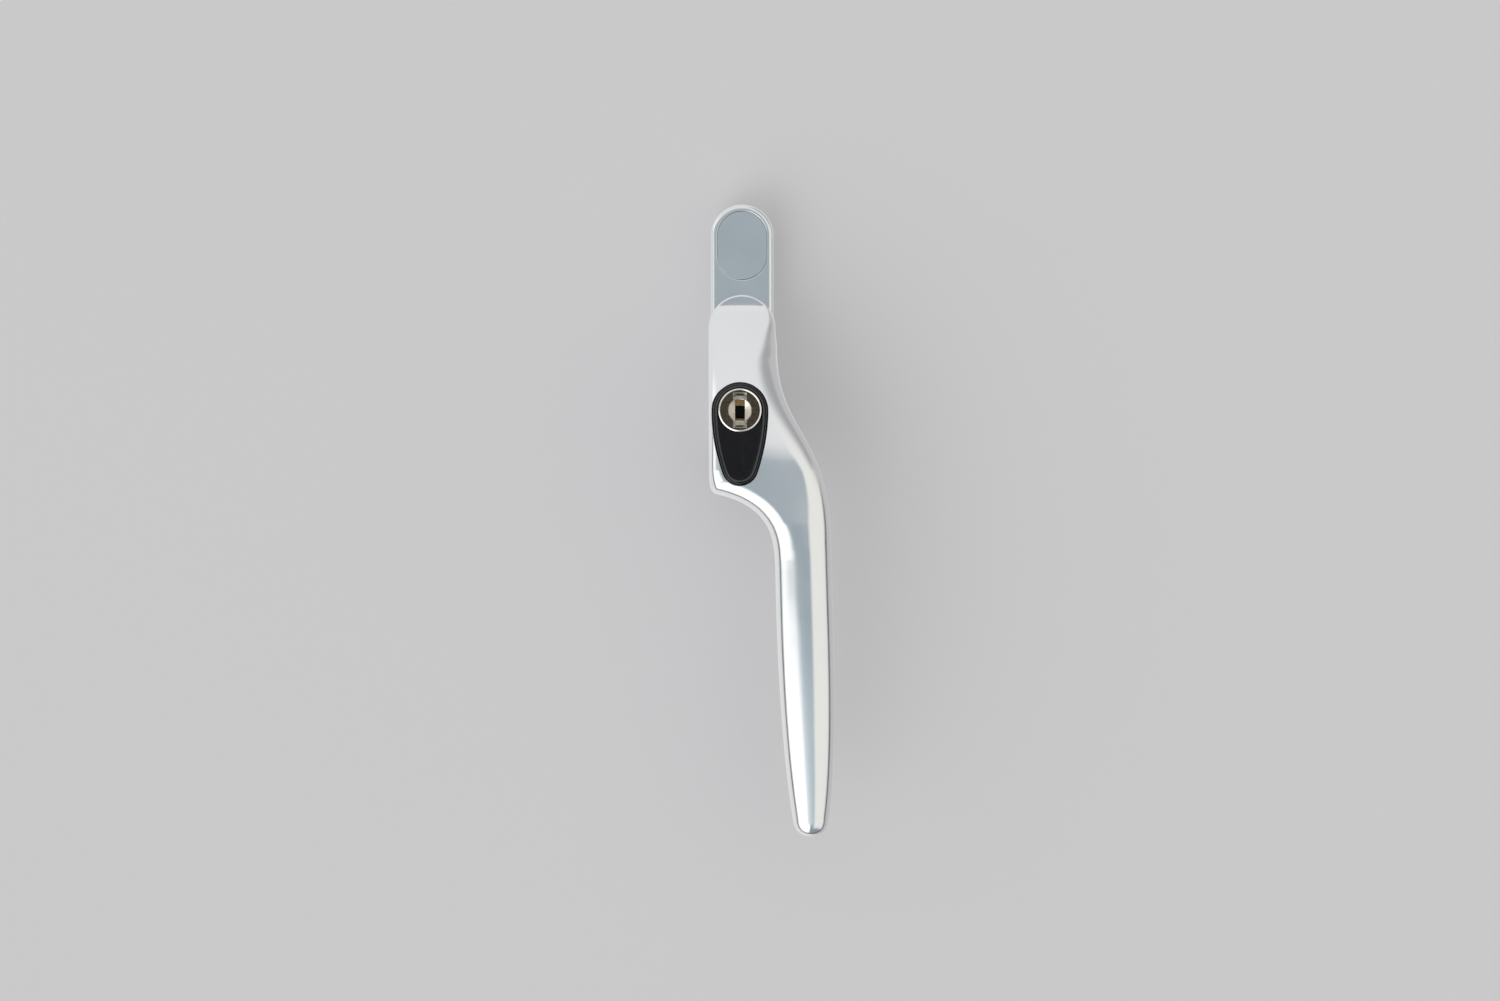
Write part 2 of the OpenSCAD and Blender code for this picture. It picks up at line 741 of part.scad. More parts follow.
// Slide with a slot across it for the plug's drive pin, and a bevelled tip
module latch() {
    tip_x = pocket_r - button_gap + latch_out;
    slot_w = drive_pin_d + 2 * run_play;
    color(steel) stand() at_lock(latch_z) difference() {
        translate([0, latch_w / 2, 0]) rotate([90, 0, 0]) linear_extrude(latch_w)
            polygon([
                [-latch_in, 0], [tip_x - latch_chamfer, 0], [tip_x, latch_chamfer], [tip_x, latch_t],
                [-latch_in, latch_t]
            ]);
        translate([(latch_travel - slot_w) / 2, -latch_w / 2 + latch_slot_end, -over])
            cube([slot_w, latch_w - 2 * latch_slot_end, latch_t + 2 * over]);
    }
}

module latch_spring() {
    color(steel) stand() at_lock(latch_z + latch_t / 2) translate([-latch_spring_seat, 0, 0])
        rotate([0, 90, 0]) coil(latch_spring_d, latch_spring_wire, latch_spring_seat - latch_in, 3, 14);
}

base_plate();
screw_cap();
fixing_screws();
bearing_bush();
thrust_washer();
wave_washer();
retaining_clip();
handle_lever();
spindle();
spindle_pin();
button_stop_pin();
lock_button();
lock_cylinder();
lock_bolt();
button_spring();
plug_clip();
key_plug();
wafer_tumblers();
wafer_springs();
latch();
latch_spring();
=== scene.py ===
from math import atan2, cos, degrees, pi, radians, sin, tau

import bmesh
import bpy
import numpy as np
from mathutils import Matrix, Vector
from mathutils.bvhtree import BVHTree


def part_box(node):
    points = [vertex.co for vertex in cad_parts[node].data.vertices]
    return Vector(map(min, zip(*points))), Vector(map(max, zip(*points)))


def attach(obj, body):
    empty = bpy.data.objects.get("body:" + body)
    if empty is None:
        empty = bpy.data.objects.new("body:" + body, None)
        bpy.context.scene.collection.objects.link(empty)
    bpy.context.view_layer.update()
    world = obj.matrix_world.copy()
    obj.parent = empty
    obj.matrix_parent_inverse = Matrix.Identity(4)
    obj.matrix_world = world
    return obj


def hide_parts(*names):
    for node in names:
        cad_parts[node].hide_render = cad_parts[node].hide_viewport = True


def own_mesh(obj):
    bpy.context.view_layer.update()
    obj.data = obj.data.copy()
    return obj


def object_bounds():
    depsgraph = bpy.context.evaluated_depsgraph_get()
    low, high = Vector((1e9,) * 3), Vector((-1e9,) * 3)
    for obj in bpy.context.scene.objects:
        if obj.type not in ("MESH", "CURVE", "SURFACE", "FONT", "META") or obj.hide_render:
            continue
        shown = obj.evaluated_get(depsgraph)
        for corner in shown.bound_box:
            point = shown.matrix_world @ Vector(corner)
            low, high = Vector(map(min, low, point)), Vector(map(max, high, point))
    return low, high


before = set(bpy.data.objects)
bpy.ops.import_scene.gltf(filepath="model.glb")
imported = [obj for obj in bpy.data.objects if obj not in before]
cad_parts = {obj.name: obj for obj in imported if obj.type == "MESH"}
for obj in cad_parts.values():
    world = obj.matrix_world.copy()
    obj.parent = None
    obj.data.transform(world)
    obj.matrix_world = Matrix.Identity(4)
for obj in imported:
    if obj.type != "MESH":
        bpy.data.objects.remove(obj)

# The pieces are drawn in plan, in millimetres: x to the right, y up the window and z out of the wall
# into the room. place() turns the plan upright and into metres, where the front faces -Y.
MM = 0.001
cad_box = [list(corner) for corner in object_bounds()]


def plan_box(node):
    """Lowest and highest corner of a CAD node, in the plan's millimetres."""
    low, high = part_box(node)
    return np.array([low.x, low.z, -high.y]) / MM, np.array([high.x, high.z, -low.y]) / MM


def place(points):
    """Plan points as upright points in metres."""
    points = np.asarray(points, float)
    return np.stack([points[:, 0], -points[:, 2], points[:, 1]], axis=1) * MM


# ---------- mesh helpers ----------

def bezier(p, n):
    """Points along a curve after its first, at n equal steps."""
    p = np.array(p, float)
    t = np.linspace(0, 1, n + 1)[1:, None]
    return (1 - t) ** 3 * p[0] + 3 * t * (1 - t) ** 2 * p[1] + 3 * t * t * (1 - t) * p[2] + t ** 3 * p[3]


def add_object(name, data):
    """A new object in the scene, with a mesh, a light or a camera as its data."""
    added = bpy.data.objects.new(name, data)
    bpy.context.scene.collection.objects.link(added)
    return added


def mesh_object(name, points, faces):
    """A new object from plan points and the faces between them."""
    mesh = bpy.data.meshes.new(name)
    mesh.from_pydata(place(points).tolist(), [], [list(f) for f in faces])
    tidy_mesh(mesh)
    return add_object(name, mesh)


def tidy_mesh(mesh):
    """Joins points that coincide, and turns every face outward."""
    bm = bmesh.new()
    bm.from_mesh(mesh)
    bmesh.ops.remove_doubles(bm, verts=bm.verts, dist=1e-7)
    bmesh.ops.recalc_face_normals(bm, faces=bm.faces)
    bm.to_mesh(mesh)
    bm.free()


def skin_faces(rows, n, cyclic=False):
    """Quads between rows of n points, with a face over each end unless the rows close on themselves."""
    faces = []
    for j in range(rows if cyclic else rows - 1):
        a = j * n
        b = (j + 1) % rows * n
        faces += [(a + k, a + (k + 1) % n, b + (k + 1) % n, b + k) for k in range(n)]
    if not cyclic:
        faces += [tuple(range(n))[::-1], tuple(range((rows - 1) * n, rows * n))]
    return faces


def stack(name, loops):
    """Closed solid through a stack of loops of equal length."""
    return mesh_object(name, np.concatenate(loops), skin_faces(len(loops), len(loops[0])))


def circle(r, n=96, start=0.0):
    a = np.linspace(0, tau, n, endpoint=False) + start
    return np.stack([r * np.cos(a), r * np.sin(a)], axis=1)


def at_height(outline, z):
    return np.column_stack([outline, np.full(len(outline), z)])


def lathe(name, profile, centre=(0, 0), n=96):
    """Solid of revolution about z from a profile of (radius, z), closed on the axis at both ends."""
    return stack(name, [at_height(circle(r, n) + centre, z) for r, z in profile])


def turned_ring(name, section, centre=(0, 0), n=120, start=0.0, end=tau):
    """A closed section of (radius, z) points turned about z, right round or from start to end."""
    whole = abs(end - start - tau) < 1e-6
    angles = np.linspace(start, end, n, endpoint=not whole)
    rows = [[(centre[0] + r * cos(a), centre[1] + r * sin(a), z) for r, z in section] for a in angles]
    return mesh_object(name, np.concatenate(rows), skin_faces(len(rows), len(section), cyclic=whole))


def flat_ring(name, r0, r1, low, high, edge, **arc):
    """Ring of rectangular section between two radii and two heights, with its edges eased."""
    return turned_ring(name, rounded([(r0, low), (r1, low), (r1, high), (r0, high)], edge), **arc)


def rounded(corners, r, steps=5):
    """A closed polygon of (x, y) corners, with each corner rounded by radius r, or by its own radius."""
    radii = [r] * len(corners) if np.isscalar(r) else r
    out = []
    for i, radius in enumerate(radii):
        here = np.array(corners[i], float)
        back = np.array(corners[i - 1], float) - here
        ahead = np.array(corners[(i + 1) % len(corners)], float) - here
        if radius == 0:
            out.append(here)
            continue
        a = back / np.linalg.norm(back)
        b = ahead / np.linalg.norm(ahead)
        for t in np.linspace(0, 1, steps + 1):
            out.append(here + radius * (a * (1 - t) ** 2 + b * t ** 2))
    return np.array(out)


def box_cutter(low, high):
    """Box between two corners, to cut with."""
    x, y = [low[0], high[0]], [low[1], high[1]]
    outline = np.array([[x[0], y[0]], [x[1], y[0]], [x[1], y[1]], [x[0], y[1]]])
    return stack("cutter", [at_height(outline, low[2]), at_height(outline, high[2])])


def rod(name, radius, start, end, chamfer=0.0, n=48):
    """Round rod between two plan points, with chamfered ends."""
    start, end = np.array(start, float), np.array(end, float)
    length = np.linalg.norm(end - start)
    along = (end - start) / length
    side = np.cross(along, [0, 0, 1] if abs(along[2]) < 0.9 else [1, 0, 0])
    side = side / np.linalg.norm(side)
    other = np.cross(along, side)
    steps = [(radius, 0), (radius, length)]
    if chamfer:
        tip = radius - chamfer
        steps = [(tip, 0), (radius, chamfer), (radius, length - chamfer), (tip, length)]
    flat = circle(1, n)
    loops = [start + along * d + r * (flat[:, :1] * side + flat[:, 1:] * other) for r, d in steps]
    return stack(name, loops)


def combine(piece, others, operation="DIFFERENCE"):
    """Cuts the other solids from a piece, or joins them to it, and deletes them."""
    for other in others:
        cut = piece.modifiers.new("cut", "BOOLEAN")
        cut.operation = operation
        cut.solver = "MANIFOLD"
        cut.object = other
    apply_modifiers(piece)
    for other in others:
        bpy.data.objects.remove(other)
    return piece


def merge_flats(piece):
    """Joins the triangles of flat faces again after cutting, so that they shade evenly."""
    bm = bmesh.new()
    bm.from_mesh(piece.data)
    bmesh.ops.remove_doubles(bm, verts=bm.verts, dist=2e-7)
    bmesh.ops.dissolve_limit(bm, angle_limit=radians(0.3), verts=bm.verts, edges=bm.edges)
    bm.to_mesh(piece.data)
    bm.free()


def apply_modifiers(piece):
    """Turns what the modifiers make of a piece into its own mesh."""
    bpy.context.view_layer.update()
    graph = bpy.context.evaluated_depsgraph_get()
    mesh = bpy.data.meshes.new_from_object(piece.evaluated_get(graph), depsgraph=graph)
    piece.modifiers.clear()
    piece.data = mesh


def shade(piece, angle, weighted):
    """Smooth shading, with edges sharper than the angle kept crisp and, if weighted, flats kept flat."""
    piece.data.shade_smooth()
    piece.data.set_sharp_from_angle(angle=radians(angle))
    if weighted:
        piece.modifiers.new("normals", "WEIGHTED_NORMAL").keep_sharp = True


def finish_piece(piece, body, slot, materials, *nodes, angle=32, flats=True):
    """Shades a piece, gives it its materials and its body, and lets it stand for its CAD nodes."""
    if flats:
        merge_flats(piece)
    piece.data.materials.clear()
    for material in materials:
        piece.data.materials.append(material)
    shade(piece, angle, flats)
    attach(piece, body)
    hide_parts(*nodes)


def eased(node, name, width):
    """A copy of a CAD node's solids with every outer edge eased by a small bevel."""
    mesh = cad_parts[node].data.copy()
    bm = bmesh.new()
    bm.from_mesh(mesh)
    bmesh.ops.remove_doubles(bm, verts=bm.verts, dist=1e-7)
    bmesh.ops.dissolve_limit(bm, angle_limit=radians(0.5), verts=bm.verts, edges=bm.edges)
    corners = [e for e in bm.edges if e.is_manifold and e.is_convex and e.calc_face_angle() > radians(30)]
    bmesh.ops.bevel(
        bm, geom=corners, offset=width * MM, segments=2, profile=0.5, affect="EDGES", clamp_overlap=True
    )
    bm.to_mesh(mesh)
    bm.free()
    return add_object(name, mesh)


# ---------- materials ----------

class Nodes:
    """Short names for building a shader tree."""

    def __init__(self, tree):
        self.tree = tree

    def add(self, kind, **settings):
        node = self.tree.nodes.new(kind)
        for key, value in settings.items():
            setattr(node, key, value)
        return node

    def link(self, out, into):
        self.tree.links.new(out, into)

    def noise(self, vector, scale, detail=2.0, roughness=0.5):
        node = self.add("ShaderNodeTexNoise")
        node.inputs["Scale"].default_value = scale
        node.inputs["Detail"].default_value = detail
        node.inputs["Roughness"].default_value = roughness
        self.link(vector, node.inputs["Vector"])
        return node.outputs["Fac"]

    def span(self, value, low, high, out_low, out_high, smooth=False):
        """Maps low..high to out_low..out_high and holds it there."""
        node = self.add("ShaderNodeMapRange", clamp=True)
        node.interpolation_type = "SMOOTHSTEP" if smooth else "LINEAR"
        for key, number in zip(("From Min", "From Max", "To Min", "To Max"), (low, high, out_low, out_high)):
            node.inputs[key].default_value = number
        self.link(value, node.inputs["Value"])
        return node.outputs["Result"]

    def math(self, operation, a, b=0.0):
        node = self.add("ShaderNodeMath", operation=operation)
        for socket, value in zip(node.inputs, (a, b)):
            if isinstance(value, (int, float)):
                socket.default_value = value
            else:
                self.link(value, socket)
        return node.outputs[0]

    def mix(self, factor, a, b):
        node = self.add("ShaderNodeMix", data_type="RGBA")
        for socket, value in zip((node.inputs[0], node.inputs[6], node.inputs[7]), (factor, a, b)):
            if isinstance(value, tuple):
                socket.default_value = (*value, 1)
            else:
                self.link(value, socket)
        return node.outputs[2]

    def blend(self, factor, first, second):
        """Mixes two shaders: all of the first where factor is nothing, all of the second where it is one."""
        node = self.add("ShaderNodeMixShader")
        for out, socket in zip((factor, first, second), node.inputs):
            self.link(out, socket)
        return node.outputs[0]

    def rising(self, value, start, full):
        """Nothing up to start, one from full on, and a soft step between them."""
        return self.span(value, start, full, 0.0, 1.0, True)

    def falling(self, value, full, end):
        """One up to full, nothing from end on, and a soft step between them."""
        return self.span(value, full, end, 1.0, 0.0, True)

    def limits(self, value, start, full, fall, end):
        """One between full and fall, falling softly to nothing at start and end."""
        return self.both(self.rising(value, start, full), self.falling(value, fall, end))

    def both(self, a, b):
        return self.math("MULTIPLY", a, b)

    def stretched(self, vector, x, y, z):
        node = self.add("ShaderNodeVectorMath", operation="MULTIPLY")
        node.inputs[1].default_value = (x, y, z)
        self.link(vector, node.inputs[0])
        return node.outputs[0]


def new_material(name):
    """A new material, with the short names for its tree and with its shader."""
    material = bpy.data.materials.new(name)
    material.use_nodes = True
    return material, Nodes(material.node_tree), material.node_tree.nodes["Principled BSDF"]


def surface(name, dark, light, metallic, roughness, blotch_mm, grain_mm, grain_depth, lines=None, **sockets):
    """A surface whose colour and roughness wander in blotches, with a fine grain over them. Sizes and
    depths are in mm. lines = (stretch of x, y and z, depth) adds the marks of brushing or turning, and
    any other socket is set by its name."""
    material, nodes, shader = new_material(name)
    place_at = nodes.add("ShaderNodeTexCoord").outputs["Object"]
    blotches = nodes.noise(place_at, 1 / (blotch_mm * MM), 3.0, 0.55)
    grain = nodes.noise(place_at, 1 / (grain_mm * MM), 2.0, 0.5)
    nodes.link(nodes.mix(nodes.span(blotches, 0.3, 0.7, 0.0, 1.0), dark, light), shader.inputs["Base Color"])
    shader.inputs["Metallic"].default_value = metallic
    worn = nodes.span(blotches, 0.3, 0.7, *roughness)
    uneven = nodes.span(grain, 0.3, 0.7, -0.02, 0.02)
    nodes.link(nodes.math("ADD", worn, uneven), shader.inputs["Roughness"])
    relief = nodes.math("MULTIPLY", grain, grain_depth * MM)
    if lines:
        stretch, depth = lines
        marks = nodes.noise(nodes.stretched(place_at, *stretch), 1 / MM, 2.0, 0.6)
        relief = nodes.math("ADD", relief, nodes.math("MULTIPLY", marks, depth * MM))
    bump = nodes.add("ShaderNodeBump")
    bump.inputs["Distance"].default_value = 1.0
    bump.inputs["Strength"].default_value = 1.0
    nodes.link(relief, bump.inputs["Height"])
    nodes.link(bump.outputs["Normal"], shader.inputs["Normal"])
    for key, value in sockets.items():
        shader.inputs[key.replace("_", " ")].default_value = value
    return material


# Name, dark, light, metallic, roughness, blotch and grain sizes, and depth of grain
chrome = surface("satin_chrome", (0.805, 0.81, 0.815), (0.82, 0.825, 0.83), 1, (0.17, 0.20), 9, 0.12, 0.0004)
plate_chrome = surface(
    "plate_chrome", (0.755, 0.775, 0.78), (0.775, 0.79, 0.80), 1, (0.20, 0.22), 8, 0.12, 0.0002)
cap_chrome = surface("cap_chrome", (0.745, 0.765, 0.77), (0.76, 0.78, 0.79), 1, (0.20, 0.22), 8, 0.12, 0.0002)
zinc = surface("zinc_steel", (0.52, 0.53, 0.54), (0.66, 0.67, 0.66), 1, (0.28, 0.42), 2, 0.15, 0.002,
               ((1.5, 0.3, 1.5), 0.003))
wire = surface("spring_steel", (0.36, 0.36, 0.37), (0.48, 0.48, 0.49), 1, (0.22, 0.32), 1, 0.08, 0.001)
nickel = surface("dull_nickel", (0.05, 0.041, 0.030), (0.10, 0.083, 0.062), 1, (0.32, 0.44), 0.5, 0.16, 0.010)
bright_nickel = surface(
    "cut_nickel", (0.72, 0.69, 0.63), (0.84, 0.81, 0.75), 1, (0.16, 0.24), 0.8, 0.08, 0.0008)
plug_nickel = surface(
    "worn_nickel", (0.46, 0.42, 0.35), (0.62, 0.57, 0.48), 1, (0.22, 0.32), 0.6, 0.10, 0.002)
# Near black for the inside of the key slot: painted shade
keyway_shade = surface("keyway_painted_shade", (0.012, 0.011, 0.010), (0.03, 0.027, 0.022), 0.3, (0.45, 0.6), 0.6, 0.10, 0.003)
brass = surface("brass", (0.22, 0.13, 0.055), (0.36, 0.23, 0.11), 1, (0.30, 0.42), 0.8, 0.08, 0.002)
plastic = surface(
    "black_plastic", (0.002, 0.002, 0.003), (0.004, 0.004, 0.0055), 0, (0.22, 0.30), 1.5, 0.12, 0.002,
    Specular_IOR_Level=0.2)
# Lighter black, a painted highlight on the button's rim
plastic_rim_highlight = surface(
    "painted_rim_highlight", (0.026, 0.026, 0.028), (0.040, 0.040, 0.043), 0, (0.16, 0.24), 1.5, 0.12, 0.001)
nylon = surface("nylon", (0.74, 0.73, 0.68), (0.82, 0.81, 0.77), 0, (0.42, 0.52), 2, 0.12, 0.002)

# ---------- lever ----------

lever_low = plan_box("handle_lever")[0]
plate_high = plan_box("base_plate")[1]
nose_r = -lever_low[0]
tip_y = lever_low[1]
plate_t = plate_high[2]
# Heights off the wall of the lever's back, of the lip at its nose, and of the grip's two faces
lever_bottom = plate_t + 0.5
lip_z = plate_t + 1.9
grip_front = 33.6
grip_back = grip_front - 12
# Radius of the front edge on the grip, on the left of the hub and at the tip, and rise of the crowned face
edge_r = 3.7
hub_r = 2.7
tip_edge_r = 2.3
crown = 1.4
# Foot and top of the hub's slope, end of the hub's flank, start of the straight grip, and length of the tip
toe_y = 5.2
crest = (-34, 33)
flank_y = -36
grip_y = -60
tip_h = 4
# How finely each stretch of the lever's outline is divided
FINE = 8


def level_table(curve, blur):
    """Height lookup over a side-view curve, with its corners softened over blur millimetres."""
    curve = curve[np.argsort(curve[:, 0])]
    step = 0.05
    ys = np.arange(tip_y - 4, nose_r + 4, step)
    zs = np.interp(ys, curve[:, 0], curve[:, 1])
    reach = int(4 * blur / step)
    kernel = np.exp(-0.5 * (np.arange(-reach, reach + 1) * step / blur) ** 2)
    padded = np.concatenate([2 * zs[0] - zs[reach:0:-1], zs, 2 * zs[-1] - zs[-2:-reach - 2:-1]])
    return ys, np.convolve(padded, kernel / kernel.sum(), mode="valid")


front_curve = np.concatenate([
    [[nose_r, lip_z], [toe_y, lip_z]],
    bezier([(toe_y, lip_z), (-9.5, 24.6), (-17, 31.2), crest], 400),
    bezier([crest, (-36, 33.2), (-40, grip_front - 0.25), (grip_y, grip_front)], 200),
    bezier([
        (grip_y, grip_front), (-85, grip_front + 0.3), (-105, grip_front), (tip_y, grip_front - 1.8),
    ], 200),
])
back_curve = np.concatenate([
    [[nose_r, lever_bottom], [flank_y, lever_bottom]],
    bezier([(flank_y, lever_bottom), (-46, lever_bottom), (-45, grip_back), (grip_y, grip_back)], 200),
    [[tip_y, grip_back + 0.8]],
])
front_table = level_table(front_curve, 0.35)
back_table = level_table(back_curve, 0.2)


def front_z(y):
    """Height of the lever's front along its middle."""
    return np.interp(y, *front_table)


def back_z(y):
    """Height of the lever's back."""
    return np.interp(y, *back_table)


def share(y, start, end):
    """How far y has got from start to end, held between nothing and one."""
    return np.clip((y - start) / (end - start), 0, 1)


def blurred(values, steps):
    """Gaussian blur of a list of values, over steps samples, holding the ends."""
    kernel = np.exp(-0.5 * (np.arange(-4 * steps, 4 * steps + 1) / steps) ** 2)
    padded = np.pad(values, 4 * steps, mode="edge")
    return np.convolve(padded, kernel / kernel.sum(), mode="valid")


def crown_tables(left, right):
    """Middle and half width of the lever's front at each height, blurred so that they hold no corner."""
    ys = np.arange(tip_y, nose_r, 0.1)
    near, far = left[::-1], right[::-1]
    left_x = np.interp(ys, near[:, 1], near[:, 0])
    right_x = np.interp(ys, far[:, 1], far[:, 0])
    return ys, blurred((left_x + right_x) / 2, 50), blurred((right_x - left_x) / 2, 50)


def lever_sides():
    """Left and right side of the lever, down from the nose, as pairs of points at equal heights."""
    corner = (-6.4, -43)
    hip = (8.5, -62)
    left = np.concatenate([
        np.linspace([-nose_r, 0], [-8.35, flank_y], 10 * FINE + 1),
        bezier([(-8.35, flank_y), (-8.3, -40), (-8.5, -42.4), corner], 7 * FINE),
        bezier([corner, (8.6, -46.4), (8.2, -56), hip], 14 * FINE),
        bezier([hip, (8.9, -82), (9.9, tip_y + 23), (13, tip_y + tip_h)], 12 * FINE),
    ])
    elbow = (22.6, -54.5)
    curve = np.concatenate([
        [[nose_r, 0]],
        bezier([(nose_r, 0), (nose_r, -2), (9, -4), (9, -6)], 60),
        bezier([(9, -6), (9, -27.5), (22, -26.5), elbow], 400),
        bezier([elbow, (23, -74), (24.7, tip_y + 23), (22.1, tip_y + tip_h)], 400),
    ])[::-1]
    right = np.column_stack([np.interp(left[:, 1], curve[:, 1], curve[:, 0]), left[:, 1]])
    return left, right


def unit(v):
    return v / np.linalg.norm(v, axis=-1, keepdims=True)


def inward(points, side):
    """Inward direction along a side, averaged over its neighbours to keep tight corners open."""
    last = len(points) - 1
    i = np.arange(len(points))
    t = unit(points[np.minimum(i + FINE, last)] - points[np.maximum(i - FINE, 0)])
    normal = side * np.column_stack([-t[:, 1], t[:, 0]])
    reach = 3 * FINE
    return unit(sum(normal[np.clip(i + k, 0, last)] for k in range(-reach, reach + 1)))


def lever_stations():
    """Edge point, spine point and inward direction of each station round the lever, anticlockwise."""
    left, right = lever_sides()
    spine = (left + right) / 2
    tip_mid = spine[-1]
    tip_end = (tip_mid[0], tip_y)
    nose = nose_r * circle(1, 24 * FINE)[1:12 * FINE]
    tip = np.concatenate([
        bezier([left[-1], (13.42, tip_y + 1.4), (14.9, tip_y), tip_end], 5 * FINE),
        bezier([tip_end, (20.3, tip_y), (21.75, tip_y + 1.4), right[-1]], 5 * FINE)[:-1],
    ])
    nose_spine = np.zeros_like(nose)
    tip_spine = np.tile(tip_mid, (len(tip), 1))
    edges = np.concatenate([nose, left, tip, right[::-1]])
    spines = np.concatenate([nose_spine, spine, tip_spine, spine[::-1]])
    dirs = np.concatenate([
        unit(nose_spine - nose), inward(left, 1), unit(tip_spine - tip), inward(right, -1)[::-1],
    ])
    return edges, spines, dirs, len(nose), len(left), len(tip)


def lever_body():
    """The casting's outer skin: rings round the lever, with rounded edges and a crowned front."""
    edges, spines, dirs, n_nose, n_left, n_tip = lever_stations()
    reach = np.linalg.norm(spines - edges, axis=1)
    thick = front_z(edges[:, 1]) - back_z(edges[:, 1])
    tables = crown_tables(*lever_sides())
    hub_left = share(edges[:, 0], 0, -6) * share(edges[:, 1], -41, -37)
    soft_r = edge_r + (hub_r - edge_r) * hub_left
    soft_r = soft_r + (tip_edge_r - soft_r) * share(edges[:, 1], tip_y + 9, tip_y + 1)
    front_r = np.minimum(np.minimum(soft_r, 0.3 * thick), 0.8 * reach)
    back_r = np.minimum(0.4 + (edge_r - 0.4) * share(edges[:, 1], -38, -56), 0.8 * reach)

    on_right = np.arange(len(edges)) >= n_nose + n_left + n_tip
    grip_wide = 0.5 * share(edges[:, 1], np.where(on_right, -26, -46), np.where(on_right, -50, -60))
    grip_wide += np.where(on_right, 0.1, 0.55) * share(edges[:, 1], -70, -110)
    hub_wide = 0.5 * share(edges[:, 0], 2, 8) * share(edges[:, 1], -36, -26)
    spread = 1.08 + grip_wide + hub_wide  # how much wider than deep the rounding of the front edge is

    def loop(side, a, g):
        """Ring on the front (side 1) or back (side -1): a runs round the edge, g in to the spine."""
        r = front_r if side > 0 else back_r
        reach_in = np.minimum(r * spread, 0.85 * reach) if side > 0 else r
        p = edges + (reach_in * (1 - cos(a)))[:, None] * dirs
        p = p + (spines - p) * g
        if side > 0:
            middle = np.interp(p[:, 1], tables[0], tables[1])
            half = np.interp(p[:, 1], tables[0], tables[2])
            height = np.minimum(crown, 0.1 * (front_z(p[:, 1]) - back_z(p[:, 1])))
            height = height * np.minimum(1, 7.5 / half)
            u = (p[:, 0] - middle) / half
            z = front_z(p[:, 1]) + height * (1 - (np.sqrt(1 + 4 * u * u) - 1) / 2)
        else:
            bulge = 1 - (np.linalg.norm(p - spines, axis=1) / reach) ** 2
            z = back_z(p[:, 1]) - 0.8 * share(p[:, 1], -44, -60) * bulge
        return np.column_stack([p, z - side * r * (1 - sin(a))])

    quarter = pi / 2
    back_steps = (0.97, 0.85, 0.7, 0.55, 0.4, 0.25, 0.12)
    front_steps = (0.05, 0.1, 0.17, 0.25, 0.33, 0.41, 0.5, 0.58, 0.66, 0.74, 0.82, 0.9, 0.97)
    loops = [loop(-1, quarter, g) for g in back_steps]
    loops += [loop(-1, a, 0) for a in np.linspace(quarter, 0, 9)]
    loops += [loop(1, a, 0) for a in np.linspace(0, quarter, 25)]
    loops += [loop(1, quarter, g) for g in front_steps]
    n = len(edges)
    faces = skin_faces(len(loops), n)[:-2]
    # Along the spine the last rings are closed by fans at nose and tip and by quads from side to side
    left0 = n_nose
    tip0 = left0 + n_left
    right0 = tip0 + n_tip
    right_end = right0 + n_left - 1
    cap = [(right_end, k, k + 1) for k in range(left0)]
    cap += [(left0 + i, left0 + i + 1, right_end - 1 - i, right_end - i) for i in range(n_left - 1)]
    cap += [(tip0 - 1, k, k + 1) for k in range(tip0, right0)]
    top = (len(loops) - 1) * n
    faces += [tuple(f[::-1]) for f in cap] + [tuple(i + top for i in f) for f in cap]
    return mesh_object("lever_casting", np.concatenate(loops), faces)


# ---------- lock ----------

button_low, button_high = plan_box("lock_button")
cylinder_low, cylinder_high = plan_box("lock_cylinder")
plug_low, plug_high = plan_box("key_plug")
latch_low, latch_high = plan_box("latch")
bolt_low, bolt_high = plan_box("lock_bolt")
spring_low, spring_high = plan_box("button_spring")
stop_low, stop_high = plan_box("button_stop_pin")

# Axis of the lock, clearance round the button, and the teardrop that its pocket is shaped to
lock = (cylinder_low[:2] + cylinder_high[:2]) / 2
button_gap = 0.3
pocket_r = button_high[1] - lock[1] + button_gap
teardrop_len = lock[1] - button_low[1] + button_gap
side_r = 48.0
side_centre = side_r - pocket_r
tip_r = (side_r ** 2 - side_centre ** 2 - teardrop_len ** 2) / (2 * (side_r - teardrop_len))
tip_centre = teardrop_len - tip_r
# Heights inside the hub, the button's travel, and the bore and the seat for the cylinder
web_bottom = bolt_high[2] - 1.8
web_top = bolt_high[2]
well_floor = spring_low[2]
pocket_floor = 16.0
travel = 2.6
bore_r = 4.72
head_z = 31.5
# Cross pins, with the holes for them, and the row of wafers
pin_z = 8
pin_r, pin_hole_r = 1.0, 1.02
wafer_count, wafer_pitch = 5, 1.3
# Slope of the button's face, which is lowest at its upper end, and heights of the latch and the stop pin
upper_end_z = 32.6
face_slope = (button_high[2] - upper_end_z) / (teardrop_len + pocket_r - 2 * button_gap)
latch_mid_z = (latch_low[2] + latch_high[2]) / 2
stop_z = (stop_low[2] + stop_high[2]) / 2


